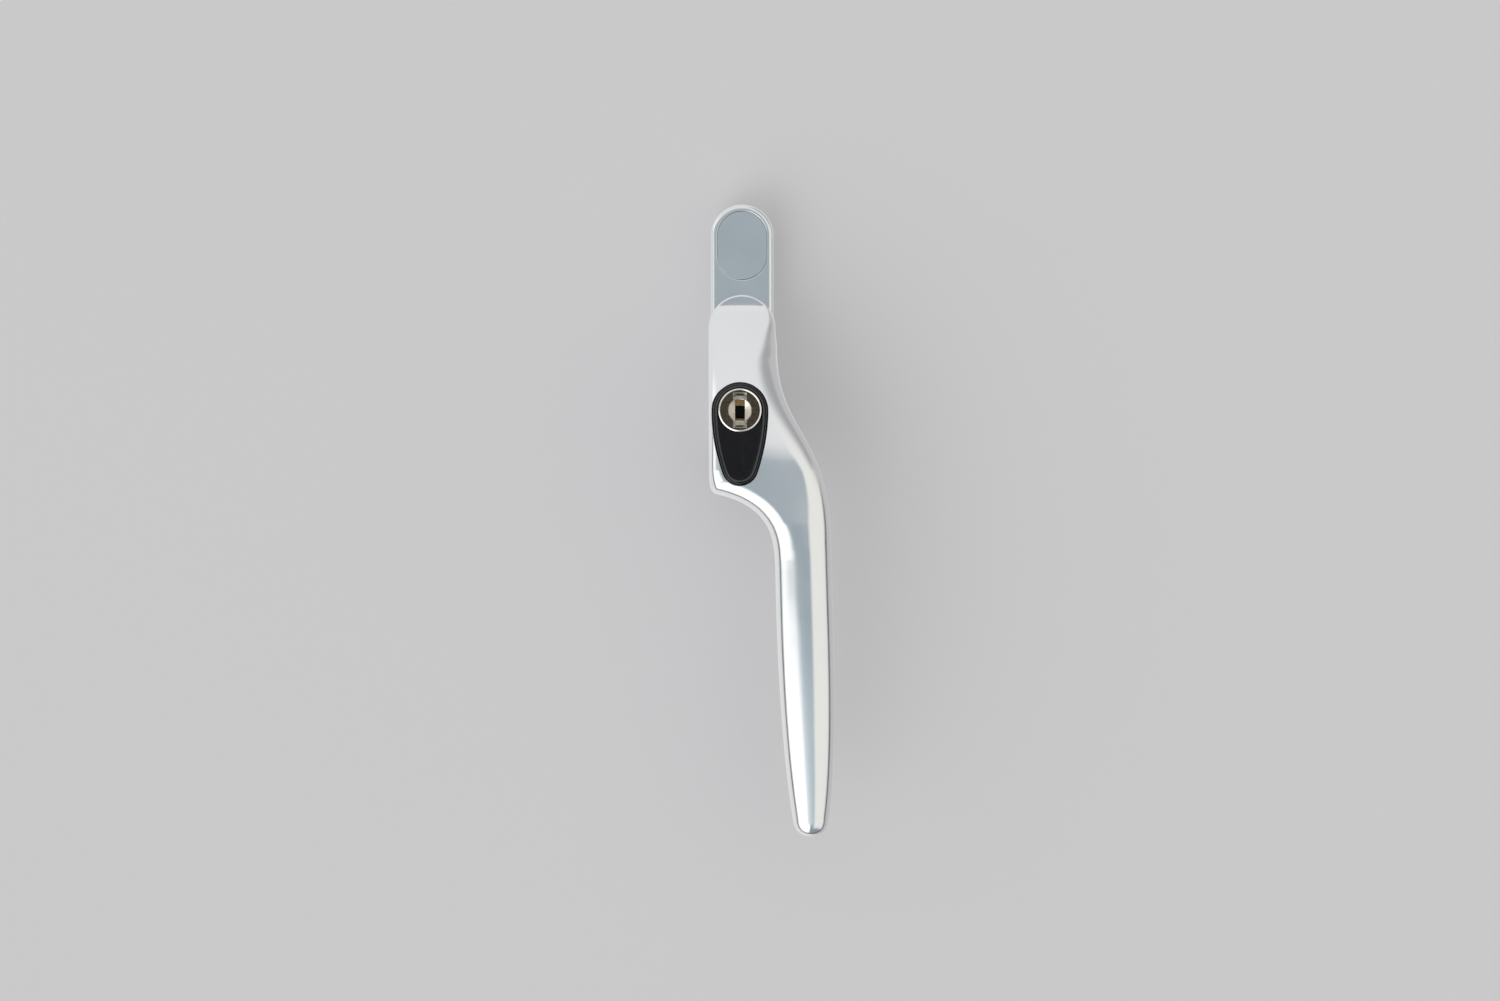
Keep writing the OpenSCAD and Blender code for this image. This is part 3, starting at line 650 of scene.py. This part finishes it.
def teardrop():
    """Points of the pocket's outline round the lock axis, their outward directions, and the spine
    point that each one shrinks to."""
    gamma = atan2(tip_centre, side_centre)
    arcs = [
        ((0, 0), pocket_r, 0, pi, 120),
        ((side_centre, 0), side_r, pi, pi + gamma, 72),
        ((0, -tip_centre), tip_r, pi + gamma, tau - gamma, 72),
        ((-side_centre, 0), side_r, -gamma, 0, 72),
    ]
    points, normals = [], []
    for centre, radius, start, end, steps in arcs:
        a = np.linspace(start, end, steps, endpoint=False)
        out = np.stack([np.cos(a), np.sin(a)], axis=1)
        normals.append(out)
        points.append(centre + radius * out)
    points = np.concatenate(points)
    reach = np.clip(-points[:, 1] / teardrop_len, 0, 1)
    spine = np.column_stack([np.zeros(len(points)), -tip_centre * reach])
    return points, np.concatenate(normals), spine


outline, outward, outline_spine = teardrop()


def at_lock(points):
    """Plan points drawn round the lock's axis, moved to where it is."""
    return points + lock


def front_heights(piece, points):
    """Height of a piece's front under each plan point."""
    bm = bmesh.new()
    bm.from_mesh(piece.data)
    tree = BVHTree.FromBMesh(bm)
    bm.free()
    heights = []
    for x, y in points:
        hit = tree.ray_cast(Vector((x * MM, -0.1, y * MM)), Vector((0, 1, 0)))[0]
        heights.append(-hit.y / MM)
    return np.array(heights)


def pocket_cutter(lever, fillet=0.45, wall=-0.2):
    """Teardrop cutter whose mouth opens in a quarter round where it meets the lever's front."""
    mouth = outline + wall * outward
    heights = front_heights(lever, at_lock(mouth + fillet * outward))
    heights = (np.roll(heights, 1) + heights + np.roll(heights, -1)) / 3
    loops = [at_height(at_lock(mouth), pocket_floor)]
    for a in np.linspace(0, pi / 2, 8):
        flare = at_lock(mouth + fillet * (1 - cos(a)) * outward)
        loops.append(np.column_stack([flare, heights - fillet * (1 - sin(a))]))
    loops.append(np.column_stack([at_lock(mouth + (fillet + 0.02) * outward), heights + 3]))
    return stack("cutter", loops)


def lock_box(left, right, down, up, low, top):
    """Box to cut with, from its offsets to the lock's axis and its two heights."""
    return box_cutter((lock[0] + left, lock[1] + down, low), (lock[0] + right, lock[1] + up, top))


def make_lever():
    """Lever casting, with the boss behind it, the button's pocket, and the holes for spindle and pins."""
    lever = lever_body()
    pocket = pocket_cutter(lever)
    boss_r, boss_bottom = 5.8, lever_low[2]
    groove_r, groove_low, groove_top = 5.35, 2.4, 3.4
    boss = lathe("boss", [
        (boss_r - 0.3, boss_bottom), (boss_r, boss_bottom + 0.3), (boss_r, groove_low),
        (groove_r, groove_low), (groove_r, groove_top), (boss_r, groove_top), (boss_r, lever_bottom + 0.6),
    ])
    socket, socket_top = 3.52, 12
    well_r, bolt_r = 6.1, 4.1
    catch_w, catch_low, catch_top = 2.6, 18.5, 23
    well_top = pocket_floor + 0.5
    well = [(bolt_r, lever_bottom - 1), (bolt_r, well_floor), (well_r, well_floor), (well_r, well_top)]
    cutters = [
        pocket,
        lathe("cutter", well, lock),
        box_cutter((-socket, -socket, 0), (socket, socket, socket_top)),
        rod("cutter", pin_hole_r, (-8, 0, pin_z), (8, 0, pin_z)),
        lock_box(6, pocket_r + 0.9, -catch_w, catch_w, catch_low, catch_top),
        rod("cutter", pin_hole_r, (lock[0], stop_high[1], stop_z), (lock[0], stop_low[1] - 5, stop_z)),
    ]
    combine(lever, [boss], "UNION")
    combine(lever, cutters)
    finish_piece(lever, "handle", "satin_chrome", [chrome], "handle_lever", flats=False)


def button_face(points):
    """Height of the button's sloping face at plan points."""
    return button_high[2] - (points[:, 1] - button_low[1]) * face_slope


def make_button():
    """Push button: rounded outer edge, a raised rim, a sunk face inside it and a faint ridge."""
    edge, rim, slope, sink = 0.8, 0.92, 0.4, 0.3
    loops = []

    def add(inset, drop, g=0.0):
        """Ring inset from the button's outline, a drop below its face, and drawn in by g to the spine."""
        p = outline - (button_gap + inset) * outward
        p = at_lock(p + (outline_spine - p) * g)
        loops.append(np.column_stack([p, button_face(p) - drop]))

    base = at_lock(outline - button_gap * outward)
    loops.append(at_height(at_lock(outline - (button_gap + 0.2) * outward), web_bottom))
    loops.append(at_height(base, web_bottom + 0.2))
    for a in np.linspace(0, pi / 2, 9):
        add(edge * (1 - cos(a)), edge * (1 - sin(a)))
    add(rim, 0)
    for t in np.linspace(0, 1, 7)[1:]:
        add(rim + slope * t, sink * t * t * (3 - 2 * t))
    for g in (0.08, 0.16, 0.26, 0.36, 0.46, 0.56, 0.66, 0.76, 0.86, 0.95):
        add(rim + slope, sink, g)
    ridge_w, ridge_h, ridge_end = 1.1, 0.16, lock[1] - 5.5
    for loop in loops[-11:]:
        y = loop[:, 1]
        fade = share(y, ridge_end + 1, ridge_end - 2) * share(y, button_low[1] + 2, button_low[1] + 5)
        loop[:, 2] += ridge_h * fade * np.exp(-((loop[:, 0] - lock[0]) / ridge_w) ** 2)
    button = stack("lock_button_shell", loops)
    stud_r = 2.02
    seat_r = cylinder_high[0] - lock[0] + 0.02
    spring_end = lock[0] - (pocket_r - button_gap - 0.85)
    spring_r, latch_w, latch_h, stop_r = 0.7, 2.4, 1.5, 1.1
    combine(button, [
        lathe("cutter", [
            (stud_r, web_bottom - 1), (stud_r, web_top), (bore_r, web_top), (bore_r, head_z),
            (seat_r, head_z), (seat_r, button_high[2] + 2),
        ], lock),
        lock_box(-4.9, 8, -latch_w, latch_w, web_top, web_top + latch_h),
        rod("cutter", spring_r, (*lock, latch_mid_z), (spring_end, lock[1], latch_mid_z)),
        box_cutter(
            (lock[0] - stop_r, button_low[1] - 1, stop_z - stop_r),
            (lock[0] + stop_r, stop_high[1] + 0.6, stop_z + stop_r + travel),
        ),
    ])
    looks = [plastic, plastic_rim_highlight]
    finish_piece(button, "button", "black_plastic", looks, "lock_button", angle=40, flats=False)
    # A painted highlight: a lighter black along the rim, on faces that look forward
    highlight_start, highlight_end = 0.46, 0.95
    for face in button.data.polygons:
        here = np.array([face.center.x, face.center.z]) / MM
        inset = np.min(np.linalg.norm(base - here, axis=1))
        face.material_index = 1 if face.normal.y < -0.35 and highlight_start < inset < highlight_end else 0


def aperture(r, w, h):
    """Keyhole outline: a circle of radius r with a slot of half width w and half height h through it."""
    a = np.arcsin(w / r)
    right = np.linspace(-pi / 2 + a, pi / 2 - a, 24)
    left = right + pi
    right_arc = np.stack([r * np.cos(right), r * np.sin(right)], axis=1)
    left_arc = np.stack([r * np.cos(left), r * np.sin(left)], axis=1)
    return np.concatenate([right_arc, [[w, h], [-w, h]], left_arc, [[-w, -h], [w, -h]]])


def make_cylinder():
    """Lock cylinder: body, chamfered head, and the keyhole with its eased edge and lead-in ramps."""
    low, top = cylinder_low[2], cylinder_high[2]
    head_r = cylinder_high[0] - lock[0]
    body_r = 4.7
    wall = 1.2
    ring = 0.34
    cylinder = lathe("lock_cylinder_body", [
        (body_r - 0.2, low), (body_r, low + 0.2), (body_r, head_z), (head_r, head_z), (head_r, top - ring),
        (head_r - 0.08, top - 0.1), (head_r - ring, top), (head_r - ring - 0.12, top - 0.06),
    ], lock, n=128)
    r, w, h, ease = 2.85, 1.55, 4.5, 0.28
    steps = (
        (0, h - 0.9, top - wall - 0.5), (0, h - 0.9, top - wall), (0, h - ease, top - ease),
        (ease, h, top + 0.01), (ease, h, top + 1),
    )
    keyhole = stack("cutter", [
        at_height(at_lock(aperture(r + grow, w + grow, reach)), z) for grow, reach, z in steps
    ])
    combine(cylinder, [
        lathe("cutter", [(2.55, low - 1), (2.55, low + wall), (3.75, low + wall), (3.75, top - wall)], lock),
        keyhole,
    ])
    finish_piece(cylinder, "button", "nickel", [nickel, bright_nickel], "lock_cylinder", angle=25)
    # Every cut or chamfered face of the front wall is bright, and its flat face dull
    for face in cylinder.data.polygons:
        high = -face.center.y / MM > top - wall - 0.05
        face.material_index = 1 if high and -face.normal.y < 0.985 else 0


def make_plug():
    """Key plug: its face is dished towards the key slot, so that the key finds its way in."""
    low, top = plug_low[2], plug_high[2]
    body_bottom = cylinder_low[2] + 1.3
    body_r, dish_r = 3.7, 2.95
    journal_r, journal_bottom = 2.5, 22.9
    groove_r, groove_low, groove_top = 2.2, 23.3, 23.8
    plug = lathe("key_plug_body", [
        (journal_r - 0.2, journal_bottom), (journal_r, journal_bottom + 0.2), (journal_r, groove_low),
        (groove_r, groove_low), (groove_r, groove_top), (journal_r, groove_top), (journal_r, body_bottom),
        (body_r, body_bottom), (body_r, top), (dish_r, top), (1.3, top - 0.85), (0.6, top - 0.85),
    ], lock, n=96)
    cam_x, cam_y = lock[0] + 0.5, lock[1] - 0.5
    cam_pin = rod("pin", 0.8, (cam_x, cam_y, low), (cam_x, cam_y, journal_bottom + 0.5), 0.1)
    combine(plug, [cam_pin], "UNION")
    slot_w, slot_h = 1.25, 2.7
    cutters = [lock_box(-slot_w, slot_w, -slot_h, slot_h, body_bottom + 0.4, top + 1)]
    wafer_w, first_wafer_z = 2.35, 25.9
    for i in range(wafer_count):
        z = first_wafer_z + wafer_pitch * i
        cutters.append(lock_box(-wafer_w, wafer_w, -2.85, 5, z - 0.05, z + 0.85))
    combine(plug, cutters)
    finish_piece(plug, "plug", "nickel", [plug_nickel, keyway_shade], "key_plug", angle=20)
    # The key slot is painted dark inside: painted shade
    for face in plug.data.polygons:
        x, height = face.center.x / MM - lock[0], -face.center.y / MM
        face.material_index = 1 if height < top - 0.9 and abs(x) < slot_w + 0.01 else 0


# ---------- plate, bearing and fixings ----------

screw_low, screw_high = plan_box("fixing_screws")
cap_low, cap_high = plan_box("screw_cap")
bush_low, bush_high = plan_box("bearing_bush")
spindle_low, spindle_high = plan_box("spindle")
clip_low, clip_high = plan_box("retaining_clip")
washer_low, washer_high = plan_box("thrust_washer")
wave_low, wave_high = plan_box("wave_washer")
cap_y = (cap_low[1] + cap_high[1]) / 2
screw_ys = (cap_y, -cap_y)


def obround(w, length, n=64):
    """Outline with round ends, along y."""
    half = (length - w) / 2
    a = np.linspace(0, pi, n + 1)
    top = np.stack([w / 2 * np.cos(a), half + w / 2 * np.sin(a)], axis=1)
    return np.concatenate([top, -top])


def slab(name, w, length, low, high, edge, centre=(0, 0), foot=0.0, steps=12):
    """Obround slab with its front edge rounded, and its back edge eased by foot."""
    loops = []
    if foot:
        loops.append(at_height(obround(w - 2 * foot, length - 2 * foot) + centre, low))
    loops.append(at_height(obround(w, length) + centre, low + foot))
    for a in np.linspace(0, pi / 2, steps):
        inset = 2 * edge * (1 - cos(a))
        loops.append(at_height(obround(w - inset, length - inset) + centre, high - edge * (1 - sin(a))))
    return stack(name, loops)


def make_plate():
    """Base plate, with the bush's bore, the two screw holes and the eased recess for the cap."""
    plate = slab("base_plate_casting", plate_high[0] * 2, plate_high[1] * 2, 0, plate_t, 1.2, foot=0.2)
    bush_r = 6.62
    recess_r, recess_h = 7.0, 6.5
    screw_r, head_r, well_r = 2.6, 4.7, 5.2
    cone_low, cone_top = 2.5, 4.6
    cutters = [lathe("cutter", [
        (recess_r + 0.25, -0.5), (recess_r + 0.25, 0), (recess_r, 0.25), (recess_r, recess_h),
        (bush_r, recess_h), (bush_r, plate_t + 1),
    ])]
    for y in screw_ys:
        cutters.append(lathe("cutter", [
            (screw_r, -1), (screw_r, cone_low), (head_r, cone_top), (well_r, cone_top), (well_r, plate_t + 1),
        ], (0, y)))
    cap_w, cap_len, gap, ease = cap_high[0] * 2, cap_high[1] - cap_low[1], 0.12, 0.26
    steps = [
        (0, cap_high[2] - 1.42), (0, plate_t - ease), (0.3 * ease, plate_t - 0.3 * ease),
        (ease, plate_t), (ease, plate_t + 1),
    ]
    recess = []
    for grow, z in steps:
        outline_there = obround(cap_w + 2 * gap + 2 * grow, cap_len + 2 * gap + 2 * grow)
        recess.append(at_height(outline_there + (0, cap_y), z))
    cutters.append(stack("cutter", recess))
    combine(plate, cutters)
    finish_piece(plate, "base", "satin_chrome", [plate_chrome], "base_plate")


def make_cap():
    """Oval cover, with the round collar under it that sits in the upper screw's counterbore."""
    w, length = cap_high[0] * 2, cap_high[1] - cap_low[1]
    cap = slab("screw_cover", w, length, cap_high[2] - 1.3, cap_high[2], 0.05, (0, cap_y), foot=0.1, steps=4)
    leg = flat_ring("leg", 4, 5, cap_low[2], cap_high[2] - 1, 0.1, centre=(0, cap_y))
    combine(cap, [leg], "UNION")
    finish_piece(cap, "base", "cap_chrome", [cap_chrome], "screw_cap")


def screw_solid(y):
    """Countersunk screw: rolled thread behind the plate, plain neck, and a cross recess in its head."""
    low, top = screw_low[2], screw_high[2]
    major, minor, pitch = 2.5, 2.07, 0.8
    sides = 48
    neck_r, neck_top = 2.2, 2.2
    head = {2.21: 2.21, 4.6: 4.6, 4.8: 4.6, 5.0: 4.45}  # radius at each height of the countersunk head
    zs = np.concatenate([
        np.linspace(low, low + 2, 12, endpoint=False), np.arange(low + 2, 0.0, 0.1),
        np.linspace(0, neck_top, 4), list(head),
    ])
    loops = []
    for z in zs:
        a = np.linspace(0, tau, sides, endpoint=False)
        phase = (z / pitch - a / tau) % 1
        ridge = np.clip(1.6 - np.abs(phase - 0.5) * 4, 0, 1)
        start = float(share(np.array(z), low, low + 2))
        end = float(share(np.array(z), 0.0, -0.8))
        if z < 0.0:
            r = (minor + (major - minor) * ridge * end) * (0.5 + 0.5 * start)
        else:
            r = np.full(sides, head[round(z, 2)] if z > neck_top else neck_r)
        loops.append(np.column_stack([r * np.cos(a), y + r * np.sin(a), np.full(sides, z)]))
    screw = stack("screw", loops)
    recess = []
    for u, v in ((2.3, 0.55), (0.55, 2.3)):
        wings = []
        for k, z in ((0.45, top - 1.8), (1.0, top), (1.25, top + 0.8)):
            wing = rounded([(-u * k, -v * k), (u * k, -v * k), (u * k, v * k), (-u * k, v * k)], 0.1 * k)
            wings.append(at_height(wing + (0, y), z))
        recess.append(stack("cutter", wings))
    return combine(screw, recess)


def make_screws():
    """The two fixing screws, as separate solids in one piece."""
    upper, lower = (screw_solid(y) for y in screw_ys)
    combine_meshes(upper, [lower])
    upper.name = "fixing_screw_pair"
    finish_piece(upper, "base", "zinc_steel", [zinc], "fixing_screws", angle=35)


def combine_meshes(piece, others):
    """Joins separate solids into one mesh, without cutting them."""
    bm = bmesh.new()
    for o in [piece, *others]:
        bm.from_mesh(o.data)
    bm.to_mesh(piece.data)
    bm.free()
    for o in others:
        bpy.data.objects.remove(o)
    return piece


def make_bearing():
    """What the lever turns in: the flanged bush, the thrust washer, the circlip and the wave washer."""
    inner_r, outer_r, flange_r = 5.85, 6.6, 7.5
    bush = turned_ring("bearing_bush_moulding", rounded([
        (inner_r, bush_low[2]), (outer_r, bush_low[2]), (outer_r, plate_t), (flange_r, plate_t),
        (flange_r, bush_high[2]), (inner_r, bush_high[2]),
    ], [0.15, 0.15, 0, 0.1, 0.15, 0.15]))
    finish_piece(bush, "base", "nylon", [nylon], "bearing_bush")

    washer = flat_ring("thrust_washer_ring", 6.0, washer_high[0], washer_low[2], washer_high[2], 0.12)
    finish_piece(washer, "base", "zinc_steel", [zinc], "thrust_washer")

    clip_r, half_mouth = clip_high[1], 2.5
    gap = np.arcsin(half_mouth / clip_r) + 0.04
    arc = {"start": -pi / 2 + gap, "end": 1.5 * pi - gap}
    clip = flat_ring("retaining_clip_ring", 5.37, clip_r, clip_low[2], clip_high[2], 0.15, **arc)
    finish_piece(clip, "handle", "spring_steel", [wire], "retaining_clip")

    half_t, waves, steps = 0.175, 3, 180
    section = rounded([(6.0, -half_t), (6.7, -half_t), (6.7, half_t), (6.0, half_t)], 0.08, 3)
    mid = (wave_low[2] + wave_high[2]) / 2
    lift = (wave_high[2] - wave_low[2] - 2 * half_t) / 2
    rows = []
    for a in np.linspace(0, tau, steps, endpoint=False):
        rows.append([(r * cos(a), r * sin(a), mid + z + lift * cos(waves * a)) for r, z in section])
    wave = mesh_object("wave_washer_ring", np.concatenate(rows), skin_faces(steps, len(section), cyclic=True))
    finish_piece(wave, "handle", "spring_steel", [wire], "wave_washer")


def make_spindle():
    """Square bar with rounded corners, chamfered ends and the cross hole for its pin."""
    w = spindle_high[0]
    low, top = spindle_low[2], spindle_high[2]
    corner, back_end, front_end = 0.9, 0.5, 0.3
    loops = []
    for inset, z in ((back_end, low), (0, low + back_end), (0, top - front_end), (front_end, top)):
        h = w - inset
        square = rounded([(-h, -h), (h, -h), (h, h), (-h, h)], corner, 8)
        loops.append(at_height(square, z))
    spindle = stack("square_spindle", loops)
    combine(spindle, [rod("cutter", pin_hole_r, (-8, 0, pin_z), (8, 0, pin_z))])
    finish_piece(spindle, "handle", "zinc_steel", [zinc], "spindle")


def coil(name, centre, axis, mean_r, wire_r, length, turns, per_turn=40, sides=12):
    """Round-wire coil along a plan axis (0 for x, 1 for y, 2 for z) from its centre point."""
    rows = []
    for t in np.linspace(0, 1, turns * per_turn + 1):
        a = tau * turns * t
        along = wire_r + (length - 2 * wire_r) * t
        ring = []
        for b in np.linspace(0, tau, sides, endpoint=False):
            r = mean_r + wire_r * cos(b)
            across = [r * cos(a), r * sin(a)]
            across.insert(axis, along + wire_r * sin(b))
            ring.append(np.array(across) + centre)
        rows.append(ring)
    return mesh_object(name, np.concatenate(rows), skin_faces(len(rows), sides))


def make_springs():
    """Springs of the button, the latch and the wafers. The first two get meshes of their own."""
    length = spring_high[2] - well_floor
    spring = coil("button_spring_coil", (*lock, well_floor), 2, 5.1, 0.3, length, 5)
    finish_piece(spring, "handle", "spring_steel", [wire], "button_spring")
    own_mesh(spring)

    low, high = plan_box("latch_spring")
    length, latch_travel = high[0] - low[0], 1.0
    start = (low[0], lock[1], latch_mid_z)
    small = coil("latch_spring_coil", start, 0, 0.5, 0.125, length, 3, 28, 10)
    finish_piece(small, "button", "spring_steel", [wire], "latch_spring")
    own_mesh(small)

    low, high = plan_box("wafer_springs")
    first_spring_z = 26.3
    parts = []
    for i in range(wafer_count):
        start = ((low[0] + high[0]) / 2, low[1], first_spring_z + wafer_pitch * i)
        parts.append(coil("spring", start, 1, 0.275, 0.075, 1.6, 3, 20, 8))
    springs = combine_meshes(parts[0], parts[1:])
    springs.name = "wafer_spring_set"
    finish_piece(springs, "plug", "spring_steel", [wire], "wafer_springs")


def make_small_parts():
    """The bolt and the two pins, and the CAD's own clip, wafers and latch with their edges eased."""
    bolt_r = (bolt_high[0] - bolt_low[0]) / 2
    stud_r = 2.0
    bolt = lathe("lock_bolt_body", [
        (bolt_r - 0.7, bolt_low[2]), (bolt_r, bolt_low[2] + 0.7), (bolt_r, web_bottom - 0.2),
        (bolt_r - 0.2, web_bottom), (stud_r, web_bottom), (stud_r, web_top - 0.15), (stud_r - 0.15, web_top),
    ], lock)
    finish_piece(bolt, "button", "zinc_steel", [zinc], "lock_bolt")
    low, high = plan_box("spindle_pin")
    pin = rod("spindle_cross_pin", pin_r, (low[0], 0, pin_z), (high[0], 0, pin_z), 0.2)
    finish_piece(pin, "handle", "zinc_steel", [zinc], "spindle_pin")
    stop = rod("stop_pin", pin_r, (lock[0], stop_high[1], stop_z), (lock[0], stop_low[1], stop_z), 0.2)
    finish_piece(stop, "handle", "zinc_steel", [zinc], "button_stop_pin")
    for node, name, width, body, slot, material in (
        ("plug_clip", "plug_clip_ring", 0.08, "plug", "spring_steel", wire),
        ("wafer_tumblers", "wafer_set", 0.06, "plug", "brass", brass),
        ("latch", "latch_slide_bar", 0.1, "latch", "zinc_steel", zinc),
    ):
        finish_piece(eased(node, name, width), body, slot, [material], node)


make_lever()
make_button()
make_cylinder()
make_plug()
make_plate()
make_cap()
make_screws()
make_bearing()
make_spindle()
make_springs()
make_small_parts()

# ---------- stage, light and camera ----------

scene = bpy.context.scene


def make_wall():
    """Pale wall that the handle is mounted on. Seen from behind, it lets the view through."""
    half, back = 3.0, 0.0002  # in metres, like all of the stage
    corners = [(-half, back, -half), (half, back, -half), (half, back, half), (-half, back, half)]
    mesh = bpy.data.meshes.new("wall")
    mesh.from_pydata(corners, [], [(0, 1, 2, 3)])
    wall = add_object("wall", mesh)
    material, nodes, paint = new_material("wall_paint")
    where = nodes.add("ShaderNodeTexCoord").outputs["Object"]
    clouds = nodes.span(nodes.noise(where, 3.0, 2.0), 0.3, 0.7, 0.0, 1.0)
    nodes.link(nodes.mix(clouds, (0.458, 0.443, 0.449), (0.463, 0.448, 0.454)), paint.inputs["Base Color"])
    paint.inputs["Roughness"].default_value = 0.9
    paint.inputs["Specular IOR Level"].default_value = 0.1
    # A little light of its own keeps the shadow faint
    paint.inputs["Emission Color"].default_value = (0.99, 0.98, 1.0, 1)
    paint.inputs["Emission Strength"].default_value = 0.15

    # Painted reflection: what polished metal mirrors of it glows bright at the left, and is painted darker at
    # the right, for the shadow
    painted_reflection = nodes.add("ShaderNodeEmission")
    split = nodes.add("ShaderNodeSeparateXYZ")
    nodes.link(where, split.inputs[0])
    shaded = nodes.rising(split.outputs[0], 0.0, 0.05)
    nodes.link(nodes.mix(shaded, (0.88, 0.88, 0.885), (0.60, 0.60, 0.605)), painted_reflection.inputs["Color"])
    glossy = nodes.add("ShaderNodeLightPath").outputs["Is Glossy Ray"]
    front = nodes.blend(glossy, paint.outputs[0], painted_reflection.outputs[0])

    behind = nodes.add("ShaderNodeNewGeometry").outputs["Backfacing"]
    sides = nodes.blend(behind, front, nodes.add("ShaderNodeBsdfTransparent").outputs[0])
    nodes.link(sides, material.node_tree.nodes["Material Output"].inputs["Surface"])
    mesh.materials.append(material)


def make_studio():
    """The room that the chrome mirrors: a bright overhead, a white softbox at the lower left, a cream
    screen at the right, and the dim blue-grey space round the camera. Directions are in degrees: across
    to the right of the camera, up from level, and polar away from it."""
    world = bpy.data.worlds.new("studio")
    scene.world = world
    world.use_nodes = True
    nodes = Nodes(world.node_tree)
    split = nodes.add("ShaderNodeSeparateXYZ")
    nodes.link(nodes.add("ShaderNodeTexCoord").outputs["Generated"], split.inputs[0])
    x, y, z = split.outputs
    math, mix, both = nodes.math, nodes.mix, nodes.both
    rising, falling, limits = nodes.rising, nodes.falling, nodes.limits
    ahead = math("MULTIPLY", y, -1.0)
    across = math("MULTIPLY", math("ARCTAN2", x, ahead), degrees(1))
    up = math("MULTIPLY", math("ARCSINE", z), degrees(1))
    polar = math("MULTIPLY", math("ARCCOSINE", ahead), degrees(1))

    # Blue-grey round the camera: dark at its level, lighter above and below, and dim again far below
    colour = mix(falling(up, -6, 0), (0.26, 0.32, 0.362), (0.50, 0.60, 0.65))
    colour = mix(rising(up, 0.8, 2.5), colour, (0.41, 0.465, 0.51))
    colour = mix(falling(up, -30, -14), colour, (0.27, 0.33, 0.39))
    # Overhead
    colour = mix(rising(up, 11, 18), colour, (0.90, 0.90, 0.905))
    # Left: grey-green near the camera, bright further round
    green = both(falling(across, -26, -14), limits(up, -2, 0, 16, 26))
    colour = mix(green, colour, (0.50, 0.56, 0.55))
    far_left = both(falling(across, -62, -40), limits(up, -2, 0, 30, 50))
    colour = mix(far_left, colour, (1.25, 1.26, 1.27))
    # Softbox at the lower left, cut off low down to the right of the camera
    toward = math("SUBTRACT", math("MULTIPLY", up, -0.9), across)
    softbox = both(rising(toward, 2, 34), falling(up, -4, 0))
    roll = math("SUBTRACT", x, math("MULTIPLY", z, 0.15))
    beneath = both(rising(roll, -0.03, 0.05), falling(up, -22, -12))
    softbox = both(softbox, math("SUBTRACT", 1.0, beneath))
    colour = mix(softbox, colour, (1.42, 1.43, 1.44))
    # Cream screen at the right, and a grey patch above it
    right = both(rising(across, 12.2, 15.2), limits(up, -50, -30, 24, 45))
    colour = mix(right, colour, (0.95, 0.945, 0.90))
    grey = both(rising(x, 0.12, 0.45), rising(z, 0.2, 0.5))
    grey = both(grey, rising(polar, 45, 78))
    colour = mix(grey, colour, (0.44, 0.44, 0.45))
    # Dark from a right angle to the view on, except overhead, for the thin dark line inside a rim
    ring = both(rising(polar, 76, 82), falling(z, 0.12, 0.4))
    colour = mix(ring, colour, (0.10, 0.105, 0.11))
    background = world.node_tree.nodes["Background"]
    nodes.link(colour, background.inputs["Color"])
    background.inputs["Strength"].default_value = 1.0

    # The camera itself sees a plain pale grey
    plain = nodes.add("ShaderNodeBackground")
    plain.inputs["Color"].default_value = (0.62, 0.61, 0.615, 1)
    direct = nodes.add("ShaderNodeLightPath").outputs["Is Camera Ray"]
    seen = nodes.blend(direct, background.outputs[0], plain.outputs[0])
    nodes.link(seen, world.node_tree.nodes["World Output"].inputs["Surface"])


def add_sun():
    """Soft light from the lower left, which throws the shadow on the wall up and to the right."""
    sun = bpy.data.lights.new("key", "SUN")
    sun.energy = 0.4
    sun.angle = radians(40)
    shines_along = Vector((0.75, 1.1, 0.95))
    add_object("key", sun).rotation_euler = shines_along.to_track_quat("-Z", "Y").to_euler()


def make_camera():
    """Long lens square to the wall. Distance and rise are in heights of the handle, and aside in metres."""
    distance, rise, aside = 6.72, 0.0265, 0.00205
    low, high = (Vector(c) for c in cad_box)
    height = high.z - low.z
    camera = bpy.data.cameras.new("camera")
    camera.lens = 100
    camera.sensor_width = 36
    holder = add_object("camera", camera)
    holder.location = (aside, -distance * height, (low.z + high.z) / 2 + rise * height)
    holder.rotation_euler = (radians(90), 0, 0)
    scene.camera = holder


make_wall()
make_studio()
add_sun()
make_camera()
scene.view_settings.view_transform = "Standard"
scene.view_settings.look = "None"

bpy.context.view_layer.update()
